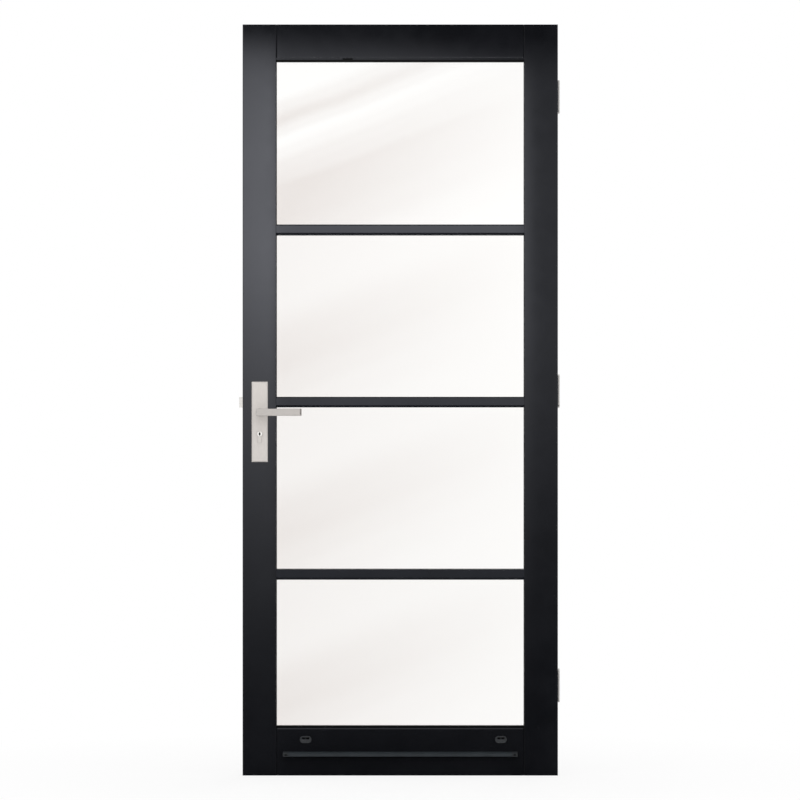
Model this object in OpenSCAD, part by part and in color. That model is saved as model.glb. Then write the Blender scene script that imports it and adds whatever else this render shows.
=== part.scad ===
// Glazed balcony door leaf with mortise lock, levers and butt hinges.
// Lengths are millimetres, +Z is up, the outside face looks to -Y and the hinges are on +X.

/* [Leaf] */
// Width of the leaf
leaf_w = 888; // [820:1:960]
// Height of the leaf
leaf_h = 2115; // [2015:1:2315]
// Thickness of the leaf
leaf_t = 54; // [53:0.5:58]
// Width of a stile's outside face
stile_face = 94.5; // [92:0.5:110]
// Height of the top rail's outside face
top_face = 93.5; // [85:0.5:120]
// Height of the bottom rail's outside face
bottom_face = 133; // [128:0.5:170]
// Rounding of the leaf's outer edges
edge_r = 2; // [1:0.5:3]
// Rounding of the edges where stiles and rails meet
joint_r = 1.5; // [0.5:0.25:2]
// Width of the groove on the outside face where a rail meets a stile
joint_gap = 3; // [1:0.5:5]
// Depth of that groove
joint_deep = 4; // [1:0.5:6]
// Radius of the dowels in the corner joints
dowel_r = 8; // [6:0.5:9]
// Length of a dowel
dowel_l = 110; // [80:1:120]
// Height of the lowest dowels
dowel_low_z = 30; // [24:1:40]
// Height of the second dowels
dowel_next_z = 88; // [75:1:98]
// From the leaf's top down to the highest dowels
dowel_top_drop = 22; // [20:1:28]
// From the leaf's top down to the dowels below those
dowel_next_drop = 55; // [50:1:60]

/* [Glazing] */
// Thickness of the outside lip that the glass sits behind
lip_t = 12; // [10:0.5:13]
// Depth of the glazing rebate behind the lip
rebate_d = 15; // [14:0.5:16]
// Rise of the sloped lip on the bottom rail
sill_rise = 2; // [2:0.5:6]
// Height of the bevel along the bottom lip's front edge
sill_arris = 2.5; // [1:0.25:4]
// Thickness of one pane
pane_t = 4; // [3:0.5:4.5]
// Distance between the panes
cavity_t = 16; // [14:0.5:16.5]
// Thickness of the outside seal
outer_seal_t = 4; // [3:0.5:4.5]
// Thickness of the inside seal
inner_seal_t = 2; // [1.5:0.25:3]
// How far the seals show past the lip at the sides
seal_past = 1; // [1:0.25:2.5]
// How far the outside seal shows under the vent strip
seal_top = 6.5; // [2:0.5:8]
// How far the outside seal shows over the bottom lip
seal_low = 5.5; // [2:0.5:7]
// Width of the strip under the lip that a seal covers
seal_cover = 9; // [6:0.5:9]
// Free gap round the glass at the sides and the top
glass_gap = 5; // [4:0.5:6]
// Thickness of the blocks that the glass stands on
block_t = 6; // [4:0.5:7]
// Length of a block
block_l = 100; // [60:1:140]
// From the glass's corner to the nearest end of a side block
block_in = 60; // [40:1:120]
// Width of the spacer frame between the panes
spacer_w = 10; // [8:0.5:11]
// Thickness of a bead at its sight edge
bead_edge = 4; // [2:0.5:6]
// Height of the vent strip under the top rail
strip_h = 5.5; // [4:0.25:6]
// Depth of the vent strip
strip_d = 6; // [4:0.5:8]
// Width of the notch in the vent strip
notch_w = 28; // [16:1:40]
// Position of the notch across the leaf
notch_x = -148; // [-250:1:250]

/* [Glazing bars] */
// Height of a bar
bar_h = 30; // [24:1:36]
// How far an outside bar stands off the glass
bar_proj = 14; // [10:0.5:15]
// How far an inside bar stands off the glass
inner_bar_proj = 12; // [9:0.5:13]
// Bevel on a bar's upper edge
bar_bevel = 3; // [1:0.5:4]
// Bevel on a bar's lower edge
bar_bevel_low = 6.5; // [1:0.5:8]
// From the leaf's top to the middle of the upper bar
bar_drop = 578; // [500:1:620]
// Distance between bars
bar_pitch = 485.5; // [440:0.5:520]
// Height of a bar inside the cavity
cavity_bar_h = 26; // [20:1:28]
// Free gap between a cavity bar and each pane
cavity_bar_gap = 2.5; // [1.5:0.25:4]

/* [Water parts] */
// Width of a drain cap
drain_w = 33; // [28:1:40]
// Height of a drain cap
drain_h = 20; // [17:0.5:22]
// How far a drain cap stands off the face
drain_proj = 3; // [2:0.25:4]
// Width of the rim round a drain cap's sloped face
drain_rim = 2.2; // [1.5:0.1:3]
// Height of the drain caps' middle
drain_z = 101.5; // [92:0.5:104]
// From the left stile to the middle of the left drain cap
drain_left_in = 83; // [45:0.5:150]
// From the right stile to the middle of the right drain cap
drain_right_in = 66; // [45:0.5:150]
// From each stile to the end of the drip rail
drip_in = 19.5; // [8:0.5:60]
// Height of the drip rail's lower edge
drip_z = 55; // [50:0.5:60]
// Height of the drip rail at the face
drip_h = 12; // [10:0.5:14]
// How far the drip rail stands out
drip_proj = 18; // [14:0.5:26]
// Fall of the drip rail's top
drip_fall = 4; // [2:0.5:5]
// Length of a drip rail end cap
drip_cap_l = 16; // [12:0.5:18]

/* [Hinges] */
// Height of a hinge
hinge_h = 89; // [80:1:102]
// Thickness of a hinge plate
hinge_t = 3; // [2.5:0.25:3.5]
// Gap between the two plates of a closed hinge
hinge_gap = 2; // [2:0.25:4]
// How far a plate reaches into the leaf's edge
hinge_reach = 38.5; // [34:0.5:44]
// Radius of a knuckle
knuckle_r = 6.5; // [6:0.25:8]
// Radius of a hinge pin
pin_r = 3.95; // [3.5:0.05:4.5]
// Height of a bearing ring
bearing_h = 2.5; // [2:0.25:3]
// Height of the lowest hinge's middle
hinge_low_z = 250; // [200:1:300]
// From the leaf's top to the middle of the highest hinge
hinge_top_drop = 200; // [160:1:300]
// Distance between the screw rows across a plate
screw_row_y = 18; // [16:0.5:20]
// Distance between the screw rows along a plate
screw_row_z = 64; // [54:1:66]
// Radius of a hinge screw hole
screw_hole_r = 2.75; // [2.6:0.05:3]

/* [Lock] */
// From the leaf's edge to the lever's axis
backset = 48.5; // [45:0.5:49]
// Height of the lever's axis
lever_z = 1023; // [960:1:1080]
// From the lever's axis down to the cylinder's axis
cyl_drop = 61; // [60:0.5:66]
// Depth of the lock case behind the lever's axis
case_back = 24; // [23.5:0.25:25]
// Thickness of the lock case
case_t = 15; // [15:0.25:16]
// Sheet thickness of the lock case
sheet_t = 1.5; // [1:0.25:1.5]
// Length of the face plate
face_l = 235; // [226:1:250]
// Width of the face plate
face_w = 24; // [22:0.5:26]
// Thickness of the face plate
face_t = 3; // [2.5:0.25:3.5]
// Length of a face plate screw in the wood
face_screw_l = 30; // [20:1:40]
// Radius at which the follower's arm pushes the latch
arm_r = 18; // [17:0.25:18.5]
// Travel of the latch
latch_travel = 11.3; // [10:0.1:11.5]
// Radius of the cam's sweep
cam_r = 15; // [14:0.25:15.2]
// Outside diameter of the latch spring
spring_d = 11; // [10:0.25:11.4]
// Number of turns in the latch spring
spring_turns = 4; // [3:1:6]

/* [Levers and plates] */
// Width of a backplate
plate_w = 45; // [40:1:50]
// Thickness of a backplate
plate_t = 9; // [7:0.5:11]
// Height of a backplate above the lever's axis
plate_up = 86; // [84:0.5:96]
// Height of a backplate below the lever's axis
plate_down = 140; // [138:0.5:150]
// Bevel round a backplate's face
plate_bevel = 2.5; // [1:0.25:4]
// Length of a lever from its axis to its tip
lever_l = 115; // [95:1:130]
// Height of a lever's grip
lever_h = 20; // [18:0.5:24]
// Thickness of a lever's grip
lever_t = 10; // [8:0.5:13]
// From the backplate to the outside of the grip
lever_proj = 50; // [44:0.5:60]
// Radius of a lever's neck
neck_r = 8; // [8:0.25:9]
// Bevel on a lever's edges
lever_bevel = 1; // [0.5:0.25:1.5]
// Width of the square spindle
spindle_w = 8; // [7:0.25:8.5]
// How far the cylinder stands out of the backplates
cyl_out = 2.5; // [1:0.25:4]
// Width of the keyway
key_w = 3.6; // [2.4:0.1:4]
// Height of the keyway
key_h = 9; // [7:0.25:9.5]
// Depth of the keyway
key_l = 27; // [22:0.5:29]
// Radius of the inside thumb turn's grip
turn_r = 15; // [12:0.5:17]
// Thickness of the thumb turn's grip
turn_t = 12; // [9:0.5:14]
// Length of the thumb turn's grip
turn_l = 18; // [14:0.5:24]

/* [Clearances] */
// Play between pieces pushed together by hand
play = 0.2; // [0.1:0.05:0.3]
// Radial play of a running fit
run_play = 0.05; // [0.02:0.01:0.1]
// Free gap round a sliding bolt
slide_gap = 0.4; // [0.3:0.05:0.5]
// Free gap round a piece in a pocket in the wood
pocket_gap = 1; // [0.5:0.25:1.5]

/* [Hidden] */
$fn = 48;
e = 0.01;
half_w = leaf_w / 2;
y_out = -leaf_t / 2;
y_in = leaf_t / 2;
lip_x = half_w - stile_face;
wall_x = lip_x + rebate_d;
y_lip = y_out + lip_t;
pane_y0 = y_lip + outer_seal_t;
pane_y1 = pane_y0 + pane_t;
pane_y2 = pane_y1 + cavity_t;
pane_y3 = pane_y2 + pane_t;
bead_y = pane_y3 + inner_seal_t;
lip_top_z = leaf_h - top_face;
wall_top_z = lip_top_z + rebate_d;
lip_low_z = bottom_face + sill_rise;
wall_low_z = lip_low_z - rebate_d;
pane_x = wall_x - glass_gap;
pane_low_z = wall_low_z + block_t;
pane_top_z = wall_top_z - glass_gap;
sight_x = lip_x - seal_past;
strip_z = lip_top_z - strip_h;
sight_top_z = strip_z - seal_top;
sight_low_z = lip_low_z + seal_low;
bars_z = [leaf_h - bar_drop, leaf_h - bar_drop - bar_pitch, leaf_h - bar_drop - 2 * bar_pitch];
dowels_z = [dowel_low_z, dowel_next_z, leaf_h - dowel_next_drop, leaf_h - dowel_top_drop];
drain_y = y_lip + 3.5;
drain_half_w = drain_w / 2 - 4.5;
drain_half_h = drain_h / 2 - 2.5;
drain_left_x = -lip_x + drain_left_in;
drain_right_x = lip_x - drain_right_in;
drip_l = 2 * (lip_x - drip_in);
drip_screw_z = drip_z + (drip_h - drip_fall) / 2;
pin_x = half_w + hinge_gap / 2;
pin_y = y_in + knuckle_r + 0.5;
knuckle_gap = 0.5;
knuckle_h = (hinge_h - 2 * bearing_h - 2 * knuckle_gap) / 5;
hinges_z = [hinge_low_z, (hinge_low_z + leaf_h - hinge_top_drop) / 2, leaf_h - hinge_top_drop];
screw_mid_y = y_in - hinge_reach / 2 - 1.75;
screw_l = 35;
door_hole_r = screw_hole_r - 0.25;
lock_x = -half_w + backset;
cyl_z = lever_z - cyl_drop;
case_up = 62;
case_down = 105;
case_in_y = case_t / 2 - sheet_t;
face_r = 9;
face_mid_z = lever_z + (case_up - case_down) / 2;
bolt_up_z = lever_z + plate_up - 14;
bolt_low_z = lever_z - plate_down + 14;
latch_proud = latch_travel - 0.3;
latch_z = 28;
latch_hh = 15;
latch_hw = case_in_y - slide_gap;
latch_back = 17;
bolt_z = 16.2;
bolt_hh = 30;
bolt_travel = 20;
arm_nose_r = 4;
arm_play = 0.2;
plug_r = 6.5;
cyl_r = 8.5;
cyl_leg_w = 10;
cyl_leg_z = 24.5;
cam_half = 4.9;
bush_r = neck_r + 3;
grip_y = plate_t + lever_proj;
cyl_end_y = y_in + plate_t + cyl_out;

// Extrusions of a flat outline along each axis
module prism_x(points, x0, x1) {
    translate([x0, 0, 0])
        rotate([90, 0, 90])
            linear_extrude(height = x1 - x0)
                polygon(points);
}

module prism_y(points, y0, y1) {
    translate([0, y1, 0])
        rotate([90, 0, 0])
            linear_extrude(height = y1 - y0)
                polygon(points);
}

module prism_z(points, z0, z1) {
    translate([0, 0, z0])
        linear_extrude(height = z1 - z0)
            polygon(points);
}

module block(x0, x1, y0, y1, z0, z1) {
    translate([x0, y0, z0])
        cube([x1 - x0, y1 - y0, z1 - z0]);
}

module rod_x(r, x0, x1, y, z) {
    translate([x0, y, z])
        rotate([0, 90, 0])
            cylinder(r = r, h = x1 - x0);
}

module rod_y(r, y0, y1, x, z) {
    translate([x, y0, z])
        rotate([-90, 0, 0])
            cylinder(r = r, h = y1 - y0);
}

module rod_z(r, z0, z1, x, y) {
    translate([x, y, z0])
        cylinder(r = r, h = z1 - z0);
}

// The sliver to take away for a rounded corner that lies at the origin, with the solid in +X and +Y
module corner_cut(r) {
    difference() {
        translate([-1, -1])
            square([r + 1, r + 1]);
        translate([r, r])
            circle(r = r);
    }
}

// Rounded corner at a point; sx and sy say on which side the solid lies
module corner_at(x, y, sx, sy, r) {
    translate([x, y])
        rotate(sx > 0 ? (sy > 0 ? 0 : 270) : (sy > 0 ? 90 : 180))
            corner_cut(r);
}

module round_rect(w, h, r) {
    square([w - 2 * r, h], center = true);
    square([w, h - 2 * r], center = true);
    for (sx = [-1, 1])
        for (sy = [-1, 1])
            translate([sx * (w / 2 - r), sy * (h / 2 - r)])
                circle(r = r);
}

// One mitred side of a rectangular frame, as points in X and Z
function side_left(ix, iz0, iz1, ox, oz0, oz1) = [[-ox, oz0], [-ix, iz0], [-ix, iz1], [-ox, oz1]];
function side_right(ix, iz0, iz1, ox, oz0, oz1) = [[ox, oz0], [ox, oz1], [ix, iz1], [ix, iz0]];
function side_bottom(ix, iz0, iz1, ox, oz0, oz1) = [[-ox, oz0], [ox, oz0], [ix, iz0], [-ix, iz0]];
function side_top(ix, iz0, iz1, ox, oz0, oz1) = [[-ox, oz1], [-ix, iz1], [ix, iz1], [ox, oz1]];

// Stiles and rails
module stile_blank() {
    translate([0, 0, 0])
        linear_extrude(height = leaf_h)
            difference() {
                polygon([
                    [-half_w, y_out], [-lip_x, y_out], [-lip_x, y_lip],
                    [-wall_x, y_lip], [-wall_x, y_in], [-half_w, y_in]
                ]);
                corner_at(-half_w, y_out, 1, 1, edge_r);
                corner_at(-half_w, y_in, 1, -1, edge_r);
                corner_at(-lip_x, y_out, -1, 1, joint_r);
                corner_at(-wall_x, y_in, -1, -1, joint_r);
            }
}

module dowel_holes(s) {
    for (z = dowels_z)
        rod_x(dowel_r + play / 2, s * wall_x - dowel_l / 2, s * wall_x + dowel_l / 2, 0, z);
}

module lock_stile() {
    color([0.06, 0.06, 0.07])
        difference() {
            stile_blank();
            dowel_holes(-1);
            translate([-half_w + face_t, 0, face_mid_z])
                rotate([0, -90, 0])
                    linear_extrude(height = face_t + 1)
                        round_rect(face_l, face_w, face_r);
            block(-half_w + face_t - e, lock_x + case_back + pocket_gap, -case_t / 2 - pocket_gap,
                case_t / 2 + pocket_gap, lever_z - case_down - pocket_gap, lever_z + case_up + pocket_gap);
            rod_y(bush_r - 1, y_out - 1, y_in + 1, lock_x, lever_z);
            translate([lock_x, 0, cyl_z])
                euro_cut(y_out - 1, y_in + 1, 0.5, 0.5);
            rod_y(3 + 0.3, y_out - 1, y_in + 1, lock_x, bolt_up_z);
            rod_y(3 + 0.3, y_out - 1, y_in + 1, lock_x, bolt_low_z);
            for (s = [-1, 1])
                rod_x(2 + run_play, -half_w, -half_w + face_t + face_screw_l + 0.2, 0,
                    face_mid_z + s * (face_l / 2 - 12));
        }
}

module hinge_stile() {
    color([0.06, 0.06, 0.07])
        difference() {
            mirror([1, 0, 0])
                stile_blank();
            dowel_holes(1);
            for (z = hinges_z) {
                translate([half_w - hinge_t, 0, z])
                    hinge_outline(y_in - hinge_reach, y_in + 1, hinge_t + 1);
                for (sy = [-1, 1])
                    for (sz = [-1, 1])
                        rod_x(2.5, half_w - hinge_t - screw_l, half_w, screw_mid_y + sy * screw_row_y / 2,
                            z + sz * screw_row_z / 2);
            }
        }
}

// Grooves that the rails' ends leave beside the stiles
module joint_grooves() {
    for (x = [-lip_x - 1, lip_x - joint_gap])
        translate([x, y_out - 1])
            square([joint_gap + 1, joint_deep + 1]);
}

module top_rail() {
    color([0.06, 0.06, 0.07])
        difference() {
            union() {
                linear_extrude_z(lip_top_z, leaf_h)
                    difference() {
                        translate([-lip_x, y_out])
                            square([2 * lip_x, lip_t]);
                        joint_grooves();
                    }
                linear_extrude_z(wall_top_z, leaf_h)
                    difference() {
                        translate([-wall_x, y_lip - e])
                            square([2 * wall_x, y_in - y_lip + e]);
                        translate([-wall_x - 1, y_lip - 1])
                            square([wall_x - lip_x + 1, 1]);
                        translate([lip_x, y_lip - 1])
                            square([wall_x - lip_x + 1, 1]);
                        corner_at(-wall_x, y_in, 1, -1, joint_r);
                        corner_at(wall_x, y_in, -1, -1, joint_r);
                    }
            }
            translate([-half_w, 0, 0])
                rotate([90, 0, 90])
                    linear_extrude(height = leaf_w)
                        corner_at(y_out, lip_top_z, 1, 1, joint_r);
            dowel_holes(-1);
            dowel_holes(1);
        }
}

module linear_extrude_z(z0, z1) {
    translate([0, 0, z0])
        linear_extrude(height = z1 - z0)
            children();
}

module bottom_rail() {
    color([0.06, 0.06, 0.07])
        difference() {
            union() {
                intersection() {
                    prism_x([
                        [y_out, 0], [y_out, bottom_face - sill_arris],
                        [y_out + 0.6 * sill_arris, bottom_face + 0.6 * sill_arris * sill_rise / lip_t],
                        [y_lip, lip_low_z], [y_lip, 0]
                    ], -lip_x, lip_x);
                    linear_extrude_z(-1, leaf_h)
                        difference() {
                            translate([-lip_x, y_out])
                                square([2 * lip_x, lip_t]);
                            joint_grooves();
                        }
                }
                linear_extrude_z(0, wall_low_z)
                    difference() {
                        translate([-wall_x, y_lip - e])
                            square([2 * wall_x, y_in - y_lip + e]);
                        translate([-wall_x - 1, y_lip - 1])
                            square([wall_x - lip_x + 1, 1]);
                        translate([lip_x, y_lip - 1])
                            square([wall_x - lip_x + 1, 1]);
                        corner_at(-wall_x, y_in, 1, -1, joint_r);
                        corner_at(wall_x, y_in, -1, -1, joint_r);
                    }
            }
            dowel_holes(-1);
            dowel_holes(1);
            for (x = [drain_left_x, drain_right_x]) {
                block(x - drain_half_w - play, x + drain_half_w + play, y_out - 1, y_out + 19,
                    drain_z - drain_half_h - play, drain_z + drain_half_h + play);
                rod_z(3, drain_z, wall_low_z + 1, x, drain_y);
            }
            for (s = [-1, 1])
                rod_y(1.75, y_out - 1, y_out + 16, s * (drip_l - drip_cap_l) / 2, drip_screw_z);
        }
}

module rail_dowels() {
    color([0.75, 0.6, 0.4])
        for (s = [-1, 1])
            for (z = dowels_z)
                rod_x(dowel_r, s * wall_x - dowel_l / 2, s * wall_x + dowel_l / 2, 0, z);
}

// Glass unit
module pane(y0) {
    block(-pane_x, pane_x, y0, y0 + pane_t, pane_low_z, pane_top_z);
}

module outer_pane() {
    color([0.8, 0.9, 0.9, 0.3])
        pane(pane_y0);
}

module inner_pane() {
    color([0.8, 0.9, 0.9, 0.3])
        pane(pane_y2);
}

module glass_spacer() {
    color([0.2, 0.2, 0.22])
        difference() {
            block(-pane_x, pane_x, pane_y1, pane_y2, pane_low_z, pane_top_z);
            block(-pane_x + spacer_w, pane_x - spacer_w, pane_y1 - 1, pane_y2 + 1,
                pane_low_z + spacer_w, pane_top_z - spacer_w);
        }
}

// Outside bar: bevelled, and stepped at its ends so that it passes over the seal
module outer_bar(z) {
    color([0.1, 0.1, 0.11])
        translate([0, 0, z]) {
            block(-sight_x + play, sight_x - play, y_lip - e, pane_y0, -bar_h / 2, bar_h / 2);
            prism_x([
                [y_lip, -bar_h / 2], [y_lip, bar_h / 2], [pane_y0 - bar_proj + bar_bevel, bar_h / 2],
                [pane_y0 - bar_proj, bar_h / 2 - bar_bevel], [pane_y0 - bar_proj, -bar_h / 2 + bar_bevel_low],
                [pane_y0 - bar_proj + bar_bevel_low, -bar_h / 2]
            ], -lip_x + play, lip_x - play);
        }
}

module outer_bar_upper() {
    outer_bar(bars_z[0]);
}

module outer_bar_middle() {
    outer_bar(bars_z[1]);
}

module outer_bar_lower() {
    outer_bar(bars_z[2]);
}

// Inside bar: the same section, stopped between the sloped beads
module inner_bar(z) {
    color([0.1, 0.1, 0.11])
        translate([0, 0, z]) {
            block(-sight_x + play, sight_x - play, pane_y3, bead_y + e, -bar_h / 2, bar_h / 2);
            prism_x([
                [bead_y, -bar_h / 2], [bead_y, bar_h / 2], [pane_y3 + inner_bar_proj - bar_bevel, bar_h / 2],
                [pane_y3 + inner_bar_proj, bar_h / 2 - bar_bevel],
                [pane_y3 + inner_bar_proj, -bar_h / 2 + bar_bevel],
                [pane_y3 + inner_bar_proj - bar_bevel, -bar_h / 2]
            ], -lip_x + play, lip_x - play);
        }
}

module inner_bar_upper() {
    inner_bar(bars_z[0]);
}

module inner_bar_middle() {
    inner_bar(bars_z[1]);
}

module inner_bar_lower() {
    inner_bar(bars_z[2]);
}

module cavity_bars() {
    color([0.25, 0.25, 0.27])
        for (z = bars_z)
            block(-pane_x + spacer_w, pane_x - spacer_w, pane_y1 + cavity_bar_gap, pane_y2 - cavity_bar_gap,
                z - cavity_bar_h / 2, z + cavity_bar_h / 2);
}

// Beads: a sloped section cut to mitres
function bead_points(s, u0, u1) = [
    [u0, bead_y], [u1, bead_y], [u1, bead_y + bead_edge], [u1 + s * (rebate_d - 9), y_in], [u0, y_in]
];

module bead_left() {
    color([0.08, 0.08, 0.09])
        intersection() {
            prism_y(side_left(lip_x, lip_low_z, lip_top_z, wall_x, wall_low_z, wall_top_z), bead_y, y_in);
            prism_z(bead_points(-1, -wall_x, -lip_x), 0, leaf_h);
        }
}

module bead_right() {
    color([0.08, 0.08, 0.09])
        intersection() {
            prism_y(side_right(lip_x, lip_low_z, lip_top_z, wall_x, wall_low_z, wall_top_z), bead_y, y_in);
            prism_z(bead_points(1, wall_x, lip_x), 0, leaf_h);
        }
}

function turned(points) = [for (p = points) [p[1], p[0]]];

module bead_bottom() {
    color([0.08, 0.08, 0.09])
        intersection() {
            prism_y(side_bottom(lip_x, lip_low_z, lip_top_z, wall_x, wall_low_z, wall_top_z), bead_y, y_in);
            prism_x(turned(bead_points(-1, wall_low_z, lip_low_z)), -half_w, half_w);
        }
}

module bead_top() {
    color([0.08, 0.08, 0.09])
        intersection() {
            prism_y(side_top(lip_x, lip_low_z, lip_top_z, wall_x, wall_low_z, wall_top_z), bead_y, y_in);
            prism_x(turned(bead_points(1, wall_top_z, lip_top_z)), -half_w, half_w);
        }
}

module outer_seal() {
    ox = lip_x + seal_cover;
    oz0 = lip_low_z - seal_cover;
    oz1 = lip_top_z + seal_cover;
    color([0.04, 0.04, 0.04]) {
        prism_y(side_left(sight_x, sight_low_z, sight_top_z, ox, oz0, oz1), y_lip, pane_y0);
        prism_y(side_right(sight_x, sight_low_z, sight_top_z, ox, oz0, oz1), y_lip, pane_y0);
        prism_y(side_bottom(sight_x, sight_low_z, sight_top_z, ox, oz0, oz1), y_lip, pane_y0);
        prism_y(side_top(sight_x, sight_low_z, sight_top_z, ox, oz0, oz1), y_lip, pane_y0);
    }
}

module inner_seal() {
    ox = lip_x + seal_cover;
    oz0 = lip_low_z - seal_cover;
    oz1 = lip_top_z + seal_cover;
    iz0 = lip_low_z + seal_past;
    iz1 = lip_top_z - seal_past;
    color([0.04, 0.04, 0.04]) {
        prism_y(side_left(sight_x, iz0, iz1, ox, oz0, oz1), pane_y3, bead_y);
        prism_y(side_right(sight_x, iz0, iz1, ox, oz0, oz1), pane_y3, bead_y);
        prism_y(side_bottom(sight_x, iz0, iz1, ox, oz0, oz1), pane_y3, bead_y);
        prism_y(side_top(sight_x, iz0, iz1, ox, oz0, oz1), pane_y3, bead_y);
    }
}

module setting_blocks() {
    color([0.3, 0.3, 0.3]) {
        for (s = [-1, 1])
            block(s * pane_x / 2 - block_l / 2, s * pane_x / 2 + block_l / 2, pane_y0, pane_y3,
                wall_low_z, pane_low_z);
        block(pane_x, wall_x, pane_y0, pane_y3, pane_low_z + block_in, pane_low_z + block_in + block_l);
        block(-wall_x, -pane_x, pane_y0, pane_y3, pane_top_z - block_in - block_l, pane_top_z - block_in);
        block(-pane_x / 2 - block_l / 2, -pane_x / 2 + block_l / 2, pane_y0, pane_y3, pane_top_z, wall_top_z);
    }
}

module top_vent_strip() {
    color([0.07, 0.07, 0.08])
        difference() {
            block(-lip_x + play, lip_x - play, y_lip - strip_d, y_lip, strip_z, lip_top_z);
            block(notch_x - notch_w / 2, notch_x + notch_w / 2, y_lip - strip_d - 1, y_lip + 1,
                strip_z - 1, lip_top_z - 1.2);
        }
}

// Drip rail, its end caps and the drain caps
function drip_points(g) = [
    [y_out, drip_z - g], [y_out, drip_z + drip_h + g], [y_out - drip_proj - g, drip_z + drip_h - drip_fall + g],
    [y_out - drip_proj - g, drip_z - g]
];

module drip_rail() {
    l = drip_l / 2 - drip_cap_l;
    color([0.18, 0.19, 0.2])
        difference() {
            prism_x(drip_points(0), -l, l);
            prism_x([
                [y_out - 3, drip_z - 1], [y_out - 3, drip_z + drip_h - drip_fall - 2],
                [y_out - drip_proj + 2.5, drip_z + drip_h - drip_fall - 2.8], [y_out - drip_proj + 2.5, drip_z - 1]
            ], -l - 1, l + 1);
        }
}

module drip_cap(s) {
    x0 = s * drip_l / 2;
    x1 = s * (drip_l / 2 - drip_cap_l);
    xc = (x0 + x1) / 2;
    color([0.14, 0.14, 0.15])
        difference() {
            prism_x(drip_points(0.4), min(x0, x1), max(x0, x1));
            rod_y(1.7, y_out - drip_proj - 2, y_out + 1, xc, drip_screw_z);
            rod_y(3.3, y_out - drip_proj - 2, y_out - drip_proj + 4, xc, drip_screw_z);
        }
}

module drip_cap_left() {
    drip_cap(-1);
}

module drip_cap_right() {
    drip_cap(1);
}

module drip_screws() {
    color([0.1, 0.1, 0.1])
        for (s = [-1, 1])
            translate([s * (drip_l - drip_cap_l) / 2, 0, drip_screw_z])
                difference() {
                    union() {
                        rod_y(3.1, y_out - drip_proj + 2, y_out - drip_proj + 4, 0, 0);
                        rod_y(1.6, y_out - drip_proj + 4 - e, y_out + 16, 0, 0);
                    }
                    rod_y(1, y_out - drip_proj + 1, y_out - drip_proj + 3.2, 0, 0, $fn = 6);
                }
}

// Drain cap: round-ended flange with a sloped face inside its rim, spigot, two channels and an open roof at the back
module drain_cap(x) {
    w = drain_half_w;
    h = drain_half_h;
    y0 = y_out - drain_proj;
    color([0.16, 0.17, 0.18])
        translate([x, 0, drain_z])
            difference() {
                union() {
                    round_ended(drain_w, drain_h, y0, y_out);
                    block(-w, w, y_out - e, y_out + 18, -h, h);
                }
                intersection() {
                    round_ended(drain_w - 2 * drain_rim, drain_h - 2 * drain_rim, y0 - 1, y_out);
                    prism_x([
                        [y0 - 1, -drain_h], [y0, -drain_h / 2 + drain_rim],
                        [y_out - 0.6, drain_h / 2 - drain_rim], [y0 - 1, drain_h]
                    ], -drain_w, drain_w);
                }
                for (s = [-1, 1])
                    prism_x([
                        [y0 - 1, 0.2], [y0 - 1, h - 1.9], [y_out + 16.5, h - 1.9], [y_out + 16.5, 1.6]
                    ], s > 0 ? 1.1 : -w + 2, s > 0 ? w - 2 : -1.1);
                block(-w + 3, w - 3, y_out + 11, y_out + 16.5, 3, h + 1);
            }
}

// Plate with round ends, flat in Y
module round_ended(w, h, y0, y1) {
    translate([0, y1, 0])
        rotate([90, 0, 0])
            linear_extrude(height = y1 - y0)
                round_rect(w, h, h / 2 - 0.25);
}

module drain_cap_left() {
    drain_cap(drain_left_x);
}

module drain_cap_right() {
    drain_cap(drain_right_x);
}

// Hinges
module hinge_outline(y0, y1, t) {
    r = 10;
    rotate([90, 0, 90])
        linear_extrude(height = t) {
            translate([y0 + r, -hinge_h / 2])
                square([y1 - y0 - r, hinge_h]);
            translate([y0, -hinge_h / 2 + r])
                square([r + 1, hinge_h - 2 * r]);
            for (s = [-1, 1])
                translate([y0 + r, s * (hinge_h / 2 - r)])
                    circle(r = r);
        }
}

// Lower end of knuckle number i, counted from 0 at the bottom
function knuckle_z(i) = -hinge_h / 2 + i * knuckle_h + [0, bearing_h, bearing_h + knuckle_gap,
    2 * bearing_h + knuckle_gap, 2 * bearing_h + 2 * knuckle_gap][i];

// One plate with its knuckles, as it lies on the leaf's side; own lists its knuckles, hole_r is for its screws
module hinge_plate(own, other, hole_r) {
    difference() {
        union() {
            translate([-hinge_gap / 2 - hinge_t, 0, 0])
                hinge_outline(y_in - hinge_reach - pin_y, 0, hinge_t);
            for (i = own)
                rod_z(knuckle_r, knuckle_z(i), knuckle_z(i) + knuckle_h, 0, 0);
        }
        rod_z(pin_r + run_play, -hinge_h, hinge_h, 0, 0);
        for (i = other)
            block(-knuckle_r - 3, knuckle_r + 3, y_in - pin_y - 0.3, knuckle_r + 3,
                knuckle_z(i) - knuckle_gap, knuckle_z(i) + knuckle_h + knuckle_gap);
        block(-knuckle_r - 3, knuckle_r + 3, y_in - pin_y - 0.3, knuckle_r + 3, knuckle_z(0) + knuckle_h, knuckle_z(1));
        block(-knuckle_r - 3, knuckle_r + 3, y_in - pin_y - 0.3, knuckle_r + 3, knuckle_z(2) + knuckle_h, knuckle_z(3));
        for (sy = [-1, 1])
            for (sz = [-1, 1])
                translate([-hinge_gap / 2, screw_mid_y - pin_y + sy * screw_row_y / 2, sz * screw_row_z / 2]) {
                    rod_x(hole_r, -hinge_t - 1, 1, 0, 0);
                    translate([hole_r - screw_hole_r - 2, 0, 0])
                        rotate([0, 90, 0])
                            cylinder(r1 = hole_r, r2 = hole_r + 2.8, h = 2.8);
                }
    }
}

module hinge_door_plate(z) {
    color([0.7, 0.7, 0.7])
        translate([pin_x, pin_y, z])
            hinge_plate([1, 3], [0, 2, 4], door_hole_r);
}

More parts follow.
